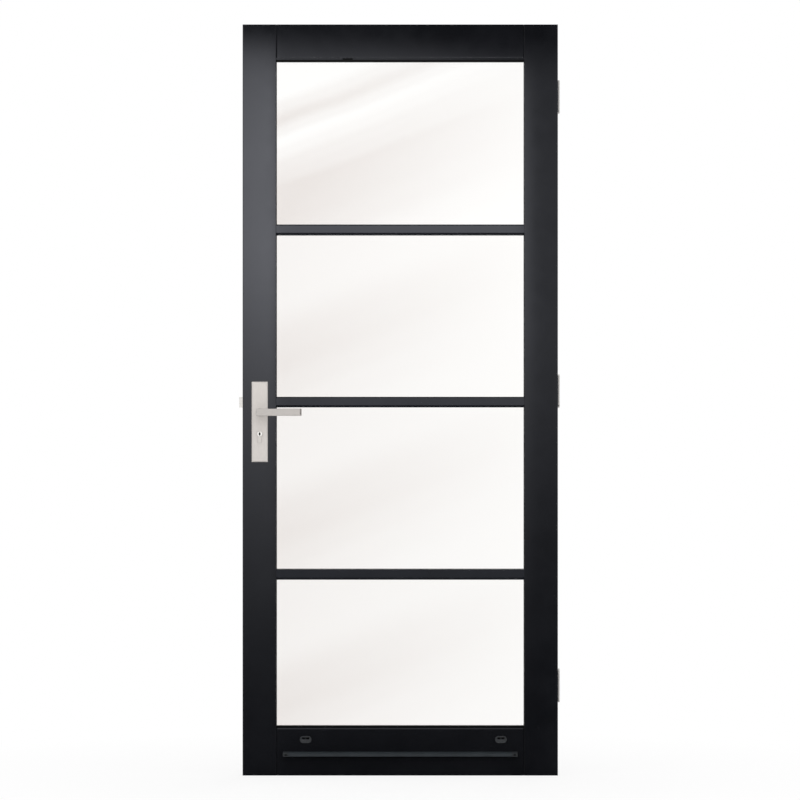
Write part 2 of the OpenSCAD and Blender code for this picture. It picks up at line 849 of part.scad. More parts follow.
module hinge_jamb_plate(z) {
    color([0.7, 0.7, 0.7])
        translate([pin_x, pin_y, z])
            mirror([1, 0, 0])
                hinge_plate([0, 2, 4], [1, 3], screw_hole_r);
}

module hinge_door_plate_bottom() {
    hinge_door_plate(hinges_z[0]);
}

module hinge_door_plate_middle() {
    hinge_door_plate(hinges_z[1]);
}

module hinge_door_plate_top() {
    hinge_door_plate(hinges_z[2]);
}

module hinge_jamb_plate_bottom() {
    hinge_jamb_plate(hinges_z[0]);
}

module hinge_jamb_plate_middle() {
    hinge_jamb_plate(hinges_z[1]);
}

module hinge_jamb_plate_top() {
    hinge_jamb_plate(hinges_z[2]);
}

module hinge_pins() {
    color([0.75, 0.75, 0.75])
        for (z = hinges_z)
            translate([pin_x, pin_y, z]) {
                rod_z(pin_r, -hinge_h / 2 - e, hinge_h / 2 + e, 0, 0);
                rod_z(knuckle_r - 0.5, -hinge_h / 2 - 3, -hinge_h / 2, 0, 0);
                rod_z(knuckle_r - 0.5, hinge_h / 2, hinge_h / 2 + 3, 0, 0);
            }
}

module hinge_bearings() {
    color([0.5, 0.5, 0.5])
        for (z = hinges_z)
            for (i = [0, 2])
                translate([pin_x, pin_y, z + knuckle_z(i) + knuckle_h])
                    difference() {
                        cylinder(r = knuckle_r - 0.2, h = bearing_h - run_play);
                        translate([0, 0, -1])
                            cylinder(r = pin_r + run_play, h = bearing_h + 2);
                    }
}

// Countersunk screw along -X with its head's face at the origin
module csk_screw(r, l) {
    difference() {
        union() {
            rod_x(r, -l, -2, 0, 0);
            translate([-2.2, 0, 0])
                rotate([0, 90, 0])
                    cylinder(r1 = r - e, r2 = r + 2.1, h = 2.1 + e);
        }
        rod_x(1.5, -1.6, 1, 0, 0, $fn = 6);
    }
}

module hinge_screws() {
    color([0.75, 0.75, 0.75])
        for (z = hinges_z)
            for (sy = [-1, 1])
                for (sz = [-1, 1])
                    translate([half_w, screw_mid_y + sy * screw_row_y / 2, z + sz * screw_row_z / 2])
                        csk_screw(2.4, hinge_t + screw_l);
}

// Profile cylinder outline, from its plug's axis
module euro_cut(y0, y1, g, side_g) {
    rod_y(cyl_r + g, y0, y1, 0, 0);
    block(-cyl_leg_w / 2 - side_g, cyl_leg_w / 2 + side_g, y0, y1, -cyl_leg_z - g, 0);
}

// Backplates: two crossed bevelled sections, so all four edges of the face are bevelled
module backplate() {
    b = plate_bevel;
    y0 = y_out - plate_t;
    w = plate_w / 2;
    intersection() {
        translate([lock_x, 0, 0])
            prism_z([[-w, y_out], [-w, y0 + b], [-w + b, y0], [w - b, y0], [w, y0 + b], [w, y_out]],
                lever_z - plate_down, lever_z + plate_up);
        translate([0, 0, lever_z])
            prism_x([
                [y_out, -plate_down], [y_out, plate_up], [y0 + b, plate_up], [y0, plate_up - b],
                [y0, -plate_down + b], [y0 + b, -plate_down]
            ], lock_x - w, lock_x + w);
    }
}

module outer_backplate() {
    color([0.8, 0.79, 0.77])
        difference() {
            backplate();
            rod_y(bush_r + run_play, y_out - plate_t - 1, y_out + 1, lock_x, lever_z);
            translate([lock_x, 0, cyl_z])
                euro_cut(y_out - plate_t - 1, y_out + 1, 0.3, 0.3);
            for (z = [bolt_low_z, bolt_up_z])
                rod_y(3 + run_play, y_out - plate_t + 2.5, y_out + 1, lock_x, z);
        }
}

module inner_backplate() {
    color([0.8, 0.79, 0.77])
        difference() {
            mirror([0, 1, 0])
                backplate();
            rod_y(bush_r + run_play, y_in - 1, y_in + plate_t + 1, lock_x, lever_z);
            translate([lock_x, 0, cyl_z])
                euro_cut(y_in - 1, y_in + plate_t + 1, 0.3, 0.3);
            for (z = [bolt_low_z, bolt_up_z]) {
                rod_y(3 + run_play, y_in - 1, y_in + plate_t + 1, lock_x, z);
                rod_y(5.6, y_in + plate_t - 3.5, y_in + plate_t + 1, lock_x, z);
            }
        }
}

module backplate_bolts() {
    color([0.8, 0.79, 0.77])
        for (z = [bolt_low_z, bolt_up_z])
            translate([lock_x, 0, z])
                difference() {
                    union() {
                        rod_y(3, y_out - plate_t + 3, y_in + plate_t - 3.5 + e, 0, 0);
                        rod_y(5.4, y_in + plate_t - 3.5, y_in + plate_t - 0.3, 0, 0);
                    }
                    rod_y(2.2, y_in + plate_t - 2.6, y_in + plate_t + 1, 0, 0, $fn = 6);
                }
}

module lever_bushes() {
    color([0.85, 0.85, 0.83])
        for (s = [-1, 1])
            difference() {
                rod_y(bush_r, min(s * y_in, s * (y_in + plate_t + 0.4)), max(s * y_in, s * (y_in + plate_t + 0.4)),
                    lock_x, lever_z);
                rod_y(neck_r + run_play, min(s * y_in, s * (y_in + plate_t + 1)) - 1,
                    max(s * y_in, s * (y_in + plate_t + 1)) + 1, lock_x, lever_z);
            }
}

// Lever on the outside: bevelled flat grip, round neck and square socket
module lever() {
    b = lever_bevel;
    h = lever_h / 2;
    y1 = y_out - grip_y;
    translate([lock_x, 0, lever_z])
        difference() {
            union() {
                intersection() {
                    prism_x([
                        [y1 + lever_t, -h + b], [y1 + lever_t, h - b], [y1 + lever_t - b, h], [y1 + b, h],
                        [y1, h - b], [y1, -h + b], [y1 + b, -h], [y1 + lever_t - b, -h]
                    ], -neck_r - 0.25, lever_l);
                    prism_z([
                        [-neck_r - 0.25, y1 + b], [-neck_r - 0.25 + b, y1], [lever_l - b, y1], [lever_l, y1 + b],
                        [lever_l, y1 + lever_t - b], [lever_l - b, y1 + lever_t], [-neck_r - 0.25, y1 + lever_t]
                    ], -h, h);
                }
                rod_y(neck_r, y1 + lever_t - 2, y_out - 0.5, 0, 0);
            }
            block(-spindle_w / 2, spindle_w / 2, y1 + lever_t + 10, y_out + 1, -spindle_w / 2, spindle_w / 2);
            rod_z(2.55, -neck_r - 5, -spindle_w / 2 + 0.1, 0, y_out - plate_t - 12);
        }
}

module outer_lever() {
    color([0.78, 0.76, 0.74])
        lever();
}

module inner_lever() {
    color([0.78, 0.76, 0.74])
        mirror([0, 1, 0])
            lever();
}

module spindle() {
    l = y_in + grip_y - lever_t - 10;
    color([0.6, 0.6, 0.6])
        translate([lock_x, 0, lever_z])
            block(-spindle_w / 2, spindle_w / 2, -l, l, -spindle_w / 2, spindle_w / 2);
}

module lever_grub_screws() {
    color([0.5, 0.5, 0.5])
        for (s = [-1, 1])
            translate([lock_x, s * (y_in + plate_t + 12), lever_z])
                difference() {
                    rod_z(2.5, -neck_r + 0.4, -spindle_w / 2, 0, 0);
                    rod_z(1.25, -neck_r - 1, -neck_r + 2.4, 0, 0, $fn = 6);
                }
}

// Follower: hub with collars, square hole and the arm that pushes the latch
module follower() {
    w = case_in_y - 0.1;
    color([0.6, 0.55, 0.4])
        translate([lock_x, 0, lever_z])
            difference() {
                union() {
                    rod_y(10, -w, w, 0, 0);
                    rod_y(8 - run_play, -case_t / 2, case_t / 2, 0, 0);
                    block(-arm_nose_r, arm_nose_r, -2.5, 2.5, 0, arm_r);
                    rod_y(arm_nose_r, -2.5, 2.5, 0, arm_r);
                }
                block(-spindle_w / 2, spindle_w / 2, -case_t, case_t, -spindle_w / 2, spindle_w / 2);
            }
}

// Openings for the two bolts and the cylinder screw, shared by face plate and case
module bolt_openings(x0, x1) {
    g = slide_gap;
    block(x0, x1, -latch_hw - g, latch_hw + g, lever_z + latch_z - latch_hh - g, lever_z + latch_z + latch_hh + g);
    block(x0, x1, -latch_hw - g, latch_hw + g, cyl_z + bolt_z - g, cyl_z + bolt_z + bolt_hh + g);
}

module lock_case() {
    x0 = -half_w + face_t;
    x1 = lock_x + case_back;
    color([0.55, 0.55, 0.57]) {
        difference() {
            block(x0, x1, -case_t / 2, case_in_y, lever_z - case_down, lever_z + case_up);
            block(x0 + sheet_t, x1 - sheet_t, -case_in_y, case_in_y + 1, lever_z - case_down + sheet_t,
                lever_z + case_up - sheet_t);
            bolt_openings(x0 - 1, x0 + sheet_t + 1);
            rod_x(2.6, x0 - 1, x0 + sheet_t + 1, 0, cyl_z - 20.25);
            rod_y(8, -case_t, case_t, lock_x, lever_z);
            translate([lock_x, 0, cyl_z])
                euro_cut(-case_t, case_t, 0.3, 0);
        }
        difference() {
            block(lock_x - 9, lock_x - 7.5, -case_in_y - e, case_in_y, lever_z + latch_z - 8, lever_z + latch_z + 8);
            block(lock_x - 10, lock_x - 6, -2.8, 2.8, lever_z + latch_z - 3.3, lever_z + latch_z + 3.3);
        }
    }
}

module lock_cover() {
    x0 = -half_w + face_t;
    x1 = lock_x + case_back;
    color([0.6, 0.6, 0.62])
        difference() {
            block(x0, x1, case_in_y, case_t / 2, lever_z - case_down, lever_z + case_up);
            rod_y(8, -case_t, case_t, lock_x, lever_z);
            translate([lock_x, 0, cyl_z])
                euro_cut(-case_t, case_t, 0.3, 0);
        }
}

module lock_face_plate() {
    color([0.8, 0.79, 0.77])
        difference() {
            translate([-half_w + face_t, 0, face_mid_z])
                rotate([0, -90, 0])
                    linear_extrude(height = face_t)
                        round_rect(face_l, face_w - play, face_r);
            bolt_openings(-half_w - 1, -half_w + face_t + 1);
            for (z = [cyl_z - 20.25, face_mid_z - face_l / 2 + 12, face_mid_z + face_l / 2 - 12]) {
                rod_x(2.6, -half_w - 1, -half_w + face_t + 1, 0, z);
                translate([-half_w - 0.1, 0, z])
                    rotate([0, 90, 0])
                        cylinder(r1 = 5.2, r2 = 2.6, h = 2.6);
            }
        }
}

module face_plate_screws() {
    color([0.8, 0.79, 0.77])
        for (s = [-1, 1])
            translate([-half_w + 0.2, 0, face_mid_z + s * (face_l / 2 - 12)])
                mirror([1, 0, 0])
                    csk_screw(2, face_t + face_screw_l);
}

module cylinder_screw() {
    color([0.8, 0.79, 0.77])
        translate([-half_w + 0.2, 0, cyl_z - 20.25])
            mirror([1, 0, 0])
                csk_screw(2.4, backset + 3);
}

// Cylinder body with its cam slot, plug bores and screw hole
module cylinder_body() {
    color([0.78, 0.77, 0.75])
        translate([lock_x, 0, cyl_z])
            difference() {
                euro_cut(-cyl_end_y, cyl_end_y, 0, 0);
                rod_y(plug_r + run_play, -cyl_end_y - 1, cyl_end_y + 1, 0, 0);
                block(-20, 20, -5.2, 5.2, -cam_r - 0.8, 20);
                rod_x(2.5, -20, 3.2, 0, -20.25);
            }
}

// Plug with a keyway at its outside end
module outer_key_plug() {
    y0 = -cyl_end_y - 0.4;
    color([0.85, 0.8, 0.65])
        translate([lock_x, 0, cyl_z])
            difference() {
                rod_y(plug_r, y0, -cam_half, 0, 0);
                block(-key_w / 2, key_w / 2, y0 - 1, y0 + key_l, -key_h / 2, key_h / 2);
                block(-key_w / 2 - 0.7, 0, y0 - 1, y0 + key_l, -1.6, 0.4);
            }
}

// Thumb turn: shaft through the cylinder, turned collar and waist, grip with two flats
module inner_thumb_turn() {
    y0 = cyl_end_y + 0.5;
    w = plug_r + 1.5;
    color([0.8, 0.79, 0.77])
        translate([lock_x, 0, cyl_z]) {
            rod_y(plug_r, cam_half, y0 + e, 0, 0);
            difference() {
                translate([0, y0, 0])
                    rotate([-90, 0, 0])
                        rotate_extrude()
                            polygon([
                                [0, 0], [turn_r - 3, 0], [turn_r - 3, 2], [w, 4], [w, 6], [turn_r - 1.5, 8],
                                [turn_r, 9.5], [turn_r, 6.5 + turn_l], [turn_r - 1.5, 8 + turn_l], [0, 8 + turn_l]
                            ]);
                for (s = [-1, 1])
                    translate([s * (turn_t / 2 + 20), y0 + 8 + turn_l / 2, 0])
                        cube([40, turn_l + 4, 60], center = true);
            }
        }
}

module cylinder_cam() {
    color([0.6, 0.55, 0.4])
        translate([lock_x, 0, cyl_z])
            union() {
                rod_y(7.5, -cam_half, cam_half, 0, 0);
                intersection() {
                    block(-5, 5, -cam_half, cam_half, -cam_r - 1, 0);
                    rod_y(cam_r, -cam_half, cam_half, 0, 0);
                }
            }
}

// Latch: bevelled head, tail through the spring bracket, lug that the follower's arm pushes
module latch_bolt() {
    x0 = -backset - latch_proud;
    x1 = -9 - latch_back;
    color([0.8, 0.79, 0.77])
        translate([lock_x, 0, lever_z]) {
            prism_z([
                [x1, -latch_hw], [x1, latch_hw], [x0, latch_hw], [x0, latch_hw - 2], [-backset - 0.5, -latch_hw]
            ], latch_z - latch_hh, latch_z + latch_hh);
            block(x1 - e, arm_nose_r + arm_play + 5, -2.5, 2.5, latch_z - 3, latch_z + 3);
            block(arm_nose_r + arm_play, arm_nose_r + arm_play + 5, -2.5, 2.5, 11.5, latch_z);
        }
}

// Flat-wire coil between the latch head and the bracket
module latch_spring() {
    ro = spring_d / 2;
    ri = ro - 1.1;
    color([0.5, 0.5, 0.52])
        translate([lock_x - 9 - latch_back, 0, lever_z + latch_z])
            rotate([0, 90, 0])
                linear_extrude(height = latch_back, twist = -360 * spring_turns, slices = 10 * spring_turns, $fn = 10)
                    polygon(concat(
                        [for (i = [0 : 4]) [ro * cos(i * 24), ro * sin(i * 24)]],
                        [for (i = [0 : 4]) [ri * cos(96 - i * 24), ri * sin(96 - i * 24)]]
                    ));
}

// Dead bolt: head flush with the face plate, tail with a notch that the cam sweeps
module dead_bolt() {
    x0 = -backset + 0.5;
    color([0.8, 0.79, 0.77])
        translate([lock_x, 0, cyl_z]) {
            block(x0, -12, -latch_hw, latch_hw, bolt_z, bolt_z + bolt_hh);
            block(-12 - e, 21.7, -4, 4, bolt_z, bolt_z + 14);
            block(-3, 0, -4, 4, 12.5, bolt_z + e);
            block(20, 21.7, -4, 4, 12.5, bolt_z + e);
        }
}

hinge_jamb_plate_bottom();
hinge_jamb_plate_middle();
hinge_jamb_plate_top();
hinge_pins();
hinge_bearings();
lock_stile();
hinge_stile();
top_rail();
bottom_rail();
rail_dowels();
outer_pane();
inner_pane();
glass_spacer();
outer_bar_upper();
outer_bar_middle();
outer_bar_lower();
inner_bar_upper();
inner_bar_middle();
inner_bar_lower();
cavity_bars();
bead_top();
bead_bottom();
bead_left();
bead_right();
outer_seal();
inner_seal();
setting_blocks();
top_vent_strip();
drip_rail();
drip_cap_left();
drip_cap_right();
drip_screws();
drain_cap_left();
drain_cap_right();
hinge_door_plate_bottom();
hinge_door_plate_middle();
hinge_door_plate_top();
hinge_screws();
outer_backplate();
inner_backplate();
backplate_bolts();
lever_bushes();
lock_case();
lock_cover();
lock_face_plate();
face_plate_screws();
cylinder_body();
cylinder_screw();
latch_spring();
outer_lever();
inner_lever();
spindle();
follower();
lever_grub_screws();
latch_bolt();
dead_bolt();
outer_key_plug();
cylinder_cam();
inner_thumb_turn();
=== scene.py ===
"""Finishes the glazed balcony door leaf, pins its beads and sets it on a plain pale stage."""
import math

import bpy
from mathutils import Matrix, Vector


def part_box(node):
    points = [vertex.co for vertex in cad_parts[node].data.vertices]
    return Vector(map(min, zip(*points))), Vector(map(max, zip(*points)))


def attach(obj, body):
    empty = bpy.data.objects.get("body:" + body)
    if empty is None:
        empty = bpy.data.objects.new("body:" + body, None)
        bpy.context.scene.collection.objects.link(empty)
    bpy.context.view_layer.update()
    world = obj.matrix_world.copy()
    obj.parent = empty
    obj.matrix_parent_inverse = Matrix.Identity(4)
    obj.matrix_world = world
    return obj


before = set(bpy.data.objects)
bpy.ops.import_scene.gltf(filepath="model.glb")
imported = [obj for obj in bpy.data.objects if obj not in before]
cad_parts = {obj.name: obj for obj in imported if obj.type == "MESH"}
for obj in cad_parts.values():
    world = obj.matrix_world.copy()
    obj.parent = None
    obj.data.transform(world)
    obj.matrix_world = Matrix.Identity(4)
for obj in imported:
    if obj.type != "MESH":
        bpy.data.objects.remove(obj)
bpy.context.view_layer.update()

bl_info = {
    "name": "Balcony Door Finishes",
    "version": (1, 0, 0),
    "blender": (4, 5, 0),
    "location": "3D View > Sidebar > Door",
    "description": "Finishes, bead pins, stage and camera for a glazed balcony door leaf",
    "category": "Object",
}

# The leaf's height and outside face, taken from a stile that runs its full height
LEAF_LOW, LEAF_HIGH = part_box("lock_stile")
LEAF_MIDDLE_Z = (LEAF_LOW[2] + LEAF_HIGH[2]) / 2
LEAF_FACE_Y = LEAF_LOW[1]
BEAD_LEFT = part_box("bead_left")
BEAD_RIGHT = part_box("bead_right")
BEAD_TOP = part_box("bead_top")
BEAD_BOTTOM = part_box("bead_bottom")
LIGHT_LEFT, LIGHT_RIGHT = BEAD_LEFT[1][0], BEAD_RIGHT[0][0]
LOW_BAR_Z = sum(corner[2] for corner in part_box("outer_bar_lower")) / 2
BAR_PITCH = sum(corner[2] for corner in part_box("outer_bar_middle")) / 2 - LOW_BAR_Z
UPPER_BAR_Z = LOW_BAR_Z + 2 * BAR_PITCH


# Settings that a user would change

class DoorPaintSettings(bpy.types.PropertyGroup):
    """Colours and feel of the painted wood"""
    frame_dark: bpy.props.FloatVectorProperty(
        name="Frame dark", description="Darker tone of the black paint on stiles, rails and beads",
        subtype="COLOR", size=3, min=0, max=1, default=(0.0052, 0.0056, 0.0071))
    frame_light: bpy.props.FloatVectorProperty(
        name="Frame light", description="Lighter tone that clouds through the black paint",
        subtype="COLOR", size=3, min=0, max=1, default=(0.0072, 0.0077, 0.0096))
    bar_dark: bpy.props.FloatVectorProperty(
        name="Bar dark", description="Darker tone of the anthracite paint on the glazing bars",
        subtype="COLOR", size=3, min=0, max=1, default=(0.0108, 0.0118, 0.0152))
    bar_light: bpy.props.FloatVectorProperty(
        name="Bar light", description="Lighter tone of the anthracite paint on the glazing bars",
        subtype="COLOR", size=3, min=0, max=1, default=(0.0138, 0.0151, 0.019))
    gloss_low: bpy.props.FloatProperty(
        name="Smoothest", description="Roughness where the paint flowed out best",
        subtype="FACTOR", min=0, max=1, default=0.1)
    gloss_high: bpy.props.FloatProperty(
        name="Roughest", description="Roughness where the paint is driest",
        subtype="FACTOR", min=0, max=1, default=0.15)
    sheen_tint: bpy.props.FloatVectorProperty(
        name="Sheen tint", description="Cool tint of what the paint mirrors",
        subtype="COLOR", size=3, min=0, max=1, default=(0.89, 0.91, 1.0))
    grain_relief: bpy.props.FloatProperty(
        name="Grain relief", description="How far the wood grain shows through the paint",
        subtype="DISTANCE", unit="LENGTH", min=0, max=0.001, default=0.00001, precision=6)


class DoorGlassSettings(bpy.types.PropertyGroup):
    """Tint of the glass unit and what holds it"""
    clear_tint: bpy.props.FloatVectorProperty(
        name="Clear tint", description="Glass tint in the open field of a pane",
        subtype="COLOR", size=3, min=0, max=1, default=(1.0, 0.997, 0.99))
    # Painted reflection: the tint that darkens the glass where its slanted streaks are strongest
    streak_tint: bpy.props.FloatVectorProperty(
        name="Film tint", description="Glass tint where the film on the outside is thickest",
        subtype="COLOR", size=3, min=0, max=1, default=(0.832, 0.792, 0.77))
    seal_tone: bpy.props.FloatVectorProperty(
        name="Seal tone", description="Colour of the rubber seals",
        subtype="COLOR", size=3, min=0, max=1, default=(0.006, 0.006, 0.006))
    spacer_tone: bpy.props.FloatVectorProperty(
        name="Spacer tone", description="Colour of the spacer and the bars in the cavity",
        subtype="COLOR", size=3, min=0, max=1, default=(0.05, 0.05, 0.053))


class DoorMetalSettings(bpy.types.PropertyGroup):
    """Tones of the metal fittings"""
    steel_tone: bpy.props.FloatVectorProperty(
        name="Steel tone", description="Satin brushed steel of backplates, cylinder and lock face",
        subtype="COLOR", size=3, min=0, max=1, default=(0.66, 0.623, 0.594))
    lever_tone: bpy.props.FloatVectorProperty(
        name="Lever tone", description="Satin brushed steel of the levers",
        subtype="COLOR", size=3, min=0, max=1, default=(0.52, 0.491, 0.467))
    brass_tone: bpy.props.FloatVectorProperty(
        name="Brass tone", description="Brass of the cam and the follower",
        subtype="COLOR", size=3, min=0, max=1, default=(0.62, 0.5, 0.28))
    nickel_tone: bpy.props.FloatVectorProperty(
        name="Nickel tone", description="Bright nickel on key plug, bolts and screws",
        subtype="COLOR", size=3, min=0, max=1, default=(0.93, 0.91, 0.88))
    hinge_tone: bpy.props.FloatVectorProperty(
        name="Hinge tone", description="Satin nickel of hinge plates, pins and bearings",
        subtype="COLOR", size=3, min=0, max=1, default=(0.78, 0.76, 0.735))
    zinc_tone: bpy.props.FloatVectorProperty(
        name="Zinc tone", description="Zinc coat on the lock case, its cover and the latch spring",
        subtype="COLOR", size=3, min=0, max=1, default=(0.42, 0.43, 0.45))
    brush_roughness: bpy.props.FloatProperty(
        name="Brush roughness", description="Middle roughness of the brushed steel",
        subtype="FACTOR", min=0, max=1, default=0.62)
    satin_share: bpy.props.FloatProperty(
        name="Satin share", description="Share of the light that the fine satin texture scatters evenly",
        subtype="FACTOR", min=0, max=1, default=0.8)


class DoorTrimSettings(bpy.types.PropertyGroup):
    """Colours of the water parts and the hidden plain parts"""
    drip_tone: bpy.props.FloatVectorProperty(
        name="Drip rail tone", description="Powder coat on the drip rail",
        subtype="COLOR", size=3, min=0, max=1, default=(0.033, 0.041, 0.047))
    cap_tone: bpy.props.FloatVectorProperty(
        name="Cap tone", description="Moulded plastic of drain caps and drip rail ends",
        subtype="COLOR", size=3, min=0, max=1, default=(0.033, 0.036, 0.04))
    screw_tone: bpy.props.FloatVectorProperty(
        name="Screw tone", description="Blackened screws in the drip rail's ends",
        subtype="COLOR", size=3, min=0, max=1, default=(0.03, 0.03, 0.033))
    block_tone: bpy.props.FloatVectorProperty(
        name="Block tone", description="Plain plastic of setting blocks and lever bushes",
        subtype="COLOR", size=3, min=0, max=1, default=(0.42, 0.42, 0.4))
    dowel_tone: bpy.props.FloatVectorProperty(
        name="Dowel tone", description="Beech of the dowels in the corner joints",
        subtype="COLOR", size=3, min=0, max=1, default=(0.42, 0.27, 0.13))


class DoorPinSettings(bpy.types.PropertyGroup):
    """Pins that hold the inside beads"""
    pitch: bpy.props.FloatProperty(
        name="Pitch", description="Distance between pins along a bead",
        subtype="DISTANCE", unit="LENGTH", min=0.05, max=0.5, default=0.19)
    head_radius: bpy.props.FloatProperty(
        name="Head radius", description="Radius of a pin's head",
        subtype="DISTANCE", unit="LENGTH", min=0.0005, max=0.004, default=0.0013, precision=4)
    head_height: bpy.props.FloatProperty(
        name="Head height", description="How far a pin's head stands off the bead",
        subtype="DISTANCE", unit="LENGTH", min=0.0001, max=0.002, default=0.0004, precision=4)
    end_gap: bpy.props.FloatProperty(
        name="End gap", description="Distance from a mitre to the first pin",
        subtype="DISTANCE", unit="LENGTH", min=0.02, max=0.2, default=0.07)


class DoorStageSettings(bpy.types.PropertyGroup):
    """Camera, light and floor"""
    camera_distance: bpy.props.FloatProperty(
        name="Camera distance", description="From the middle of the leaf to the camera",
        subtype="DISTANCE", unit="LENGTH", min=2, max=20, default=12.0)
    picture_width: bpy.props.FloatProperty(
        name="Picture width", description="Width that the picture takes in at the leaf's outside face",
        subtype="DISTANCE", unit="LENGTH", min=1, max=6, default=2.2528)
    room_light: bpy.props.FloatProperty(
        name="Room light", description="Even light from all round",
        min=0, max=2, default=0.75)
    window_light: bpy.props.FloatProperty(
        name="Window light",
        description="Brightness of the tall light board in front that glossy faces mirror",
        min=0, max=8, default=3.45)
    board_gap: bpy.props.FloatProperty(
        name="Board gap", description="From the leaf's outside face to the light board",
        subtype="DISTANCE", unit="LENGTH", min=0.2, max=2, default=0.573)
    key_power: bpy.props.FloatProperty(
        name="Key power",
        description="Power of the soft lamp in front; the one at the side takes a share of it",
        unit="POWER", min=0, max=500, default=38)
    back_power: bpy.props.FloatProperty(
        name="Back power", description="Power of the soft lamp on the inside",
        unit="POWER", min=0, max=500, default=32)


# Helpers for node materials

def blank_finish(name):
    """A new node material, its tree and its shader."""
    finish = bpy.data.materials.new(name)
    finish.use_nodes = True
    return finish, finish.node_tree, finish.node_tree.nodes["Principled BSDF"]


def object_space(tree, stretch=(1, 1, 1)):
    """Object coordinates, stretched along the axes."""
    place = tree.nodes.new("ShaderNodeTexCoord")
    mapping = tree.nodes.new("ShaderNodeMapping")
    mapping.inputs["Scale"].default_value = stretch
    tree.links.new(place.outputs["Object"], mapping.inputs["Vector"])
    return mapping.outputs["Vector"]


def parts_of(tree, vector):
    """A vector's x, y and z."""
    parts = tree.nodes.new("ShaderNodeSeparateXYZ")
    tree.links.new(vector, parts.inputs["Vector"])
    return parts.outputs["X"], parts.outputs["Y"], parts.outputs["Z"]


def cloud(tree, vector, scale, detail=2, harsh=0.5):
    """Soft noise between 0 and 1."""
    noise = tree.nodes.new("ShaderNodeTexNoise")
    noise.inputs["Scale"].default_value = scale
    noise.inputs["Detail"].default_value = detail
    noise.inputs["Roughness"].default_value = harsh
    tree.links.new(vector, noise.inputs["Vector"])
    return noise.outputs["Fac"]


def spread(tree, value, low, high, at_low=0.3, at_high=0.7):
    """A value stretched to a range; without more said, from the middle of a noise."""
    ranged = tree.nodes.new("ShaderNodeMapRange")
    ranged.inputs["From Min"].default_value = at_low
    ranged.inputs["From Max"].default_value = at_high
    ranged.inputs["To Min"].default_value = low
    ranged.inputs["To Max"].default_value = high
    tree.links.new(value, ranged.inputs["Value"])
    return ranged.outputs["Result"]


def two_tone(tree, value, dark, light, at_dark=0.35, at_light=0.65):
    """A colour that runs between two tones with a value."""
    ramp = tree.nodes.new("ShaderNodeValToRGB")
    ramp.color_ramp.elements[0].position = at_dark
    ramp.color_ramp.elements[0].color = (*dark, 1)
    ramp.color_ramp.elements[1].position = at_light
    ramp.color_ramp.elements[1].color = (*light, 1)
    tree.links.new(value, ramp.inputs["Fac"])
    return ramp.outputs["Color"]


def lighter(colour, share):
    """The colour with its brightness multiplied."""
    return tuple(min(1.0, c * share) for c in colour)


def shaded(tree, value, tone, shares, span=(0.35, 0.65)):
    """A tone that runs from its darkest to its lightest share with a value."""
    return two_tone(tree, value, lighter(tone, shares[0]), lighter(tone, shares[1]), *span)


def share_of(stops, low, high):
    """The stops with each place as a share of the way from low to high."""
    return [((place - low) / (high - low), grey) for place, grey in stops]


def grey_ramp(tree, value, stops, between="LINEAR"):
    """A grey value from a list of places and greys."""
    ramp = tree.nodes.new("ShaderNodeValToRGB")
    ramp.color_ramp.interpolation = between
    parts = ramp.color_ramp.elements
    while len(parts) < len(stops):
        parts.new(0.5)
    for part, (place, grey) in zip(parts, stops):
        part.position = place
        part.color = (grey, grey, grey, 1)
    tree.links.new(value, ramp.inputs["Fac"])
    return ramp.outputs["Color"]


def sum_node(tree, kind, first, second):
    """One sum on two values, each a number or an output."""
    node = tree.nodes.new("ShaderNodeMath")
    node.operation = kind
    for socket, value in zip(node.inputs, (first, second)):
        if isinstance(value, (int, float)):
            socket.default_value = value
        else:
            tree.links.new(value, socket)
    return node.outputs[0]


def vector_node(tree, kind, vector, other=(0, 0, 0)):
    """One sum on a vector and a fixed one."""
    node = tree.nodes.new("ShaderNodeVectorMath")
    node.operation = kind
    node.inputs[1].default_value = other
    tree.links.new(vector, node.inputs[0])
    return node.outputs["Value" if kind == "LENGTH" else "Vector"]


def relief(tree, shader, height, strength, depth):
    """A bump over those that the shader has already; its depth is in metres."""
    bump = tree.nodes.new("ShaderNodeBump")
    bump.inputs["Strength"].default_value = strength
    bump.inputs["Distance"].default_value = depth
    tree.links.new(height, bump.inputs["Height"])
    for below in shader.inputs["Normal"].links:
        tree.links.new(below.from_socket, bump.inputs["Normal"])
    tree.links.new(bump.outputs["Normal"], shader.inputs["Normal"])


def dress(finish, *names):
    """Gives CAD nodes a finish."""
    for name in names:
        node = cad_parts[name]
        if not node.material_slots:
            node.data.materials.append(finish)
        for place in node.material_slots:
            place.material = finish


# Finishes

# Grain and brush lines drawn out along one axis
ALONG_X = (0.04, 1, 1)
ALONG_Z = (1, 1, 0.04)
# Where the rails' outside faces end against the stiles, and how wide and deep the groove there is
JOINT_X = -LEAF_HIGH[0]
JOINT_GAP = 0.0032
JOINT_DEEP = (0.0005, 0.0045)
# Darkest and lightest share of a finish's tone, and its roughness or how far that strays from the middle
BRUSHED_SHADES, BRUSHED_STRAY = (0.93, 1.05), (-0.04, 0.05)
CAST_SHADES, CAST_STRAY = (0.88, 1.1), (-0.06, 0.06)
ZINC_SHADES, ZINC_ROUGHNESS = (0.85, 1.15), (0.34, 0.48)
BEECH_SHADES, BEECH_ROUGHNESS = (0.75, 1.15), (0.55, 0.75)
# Distance from a zinc flake's middle at which its shade begins and ends, in the texture's own measure
FLAKE_SPAN = (0.1, 0.6)
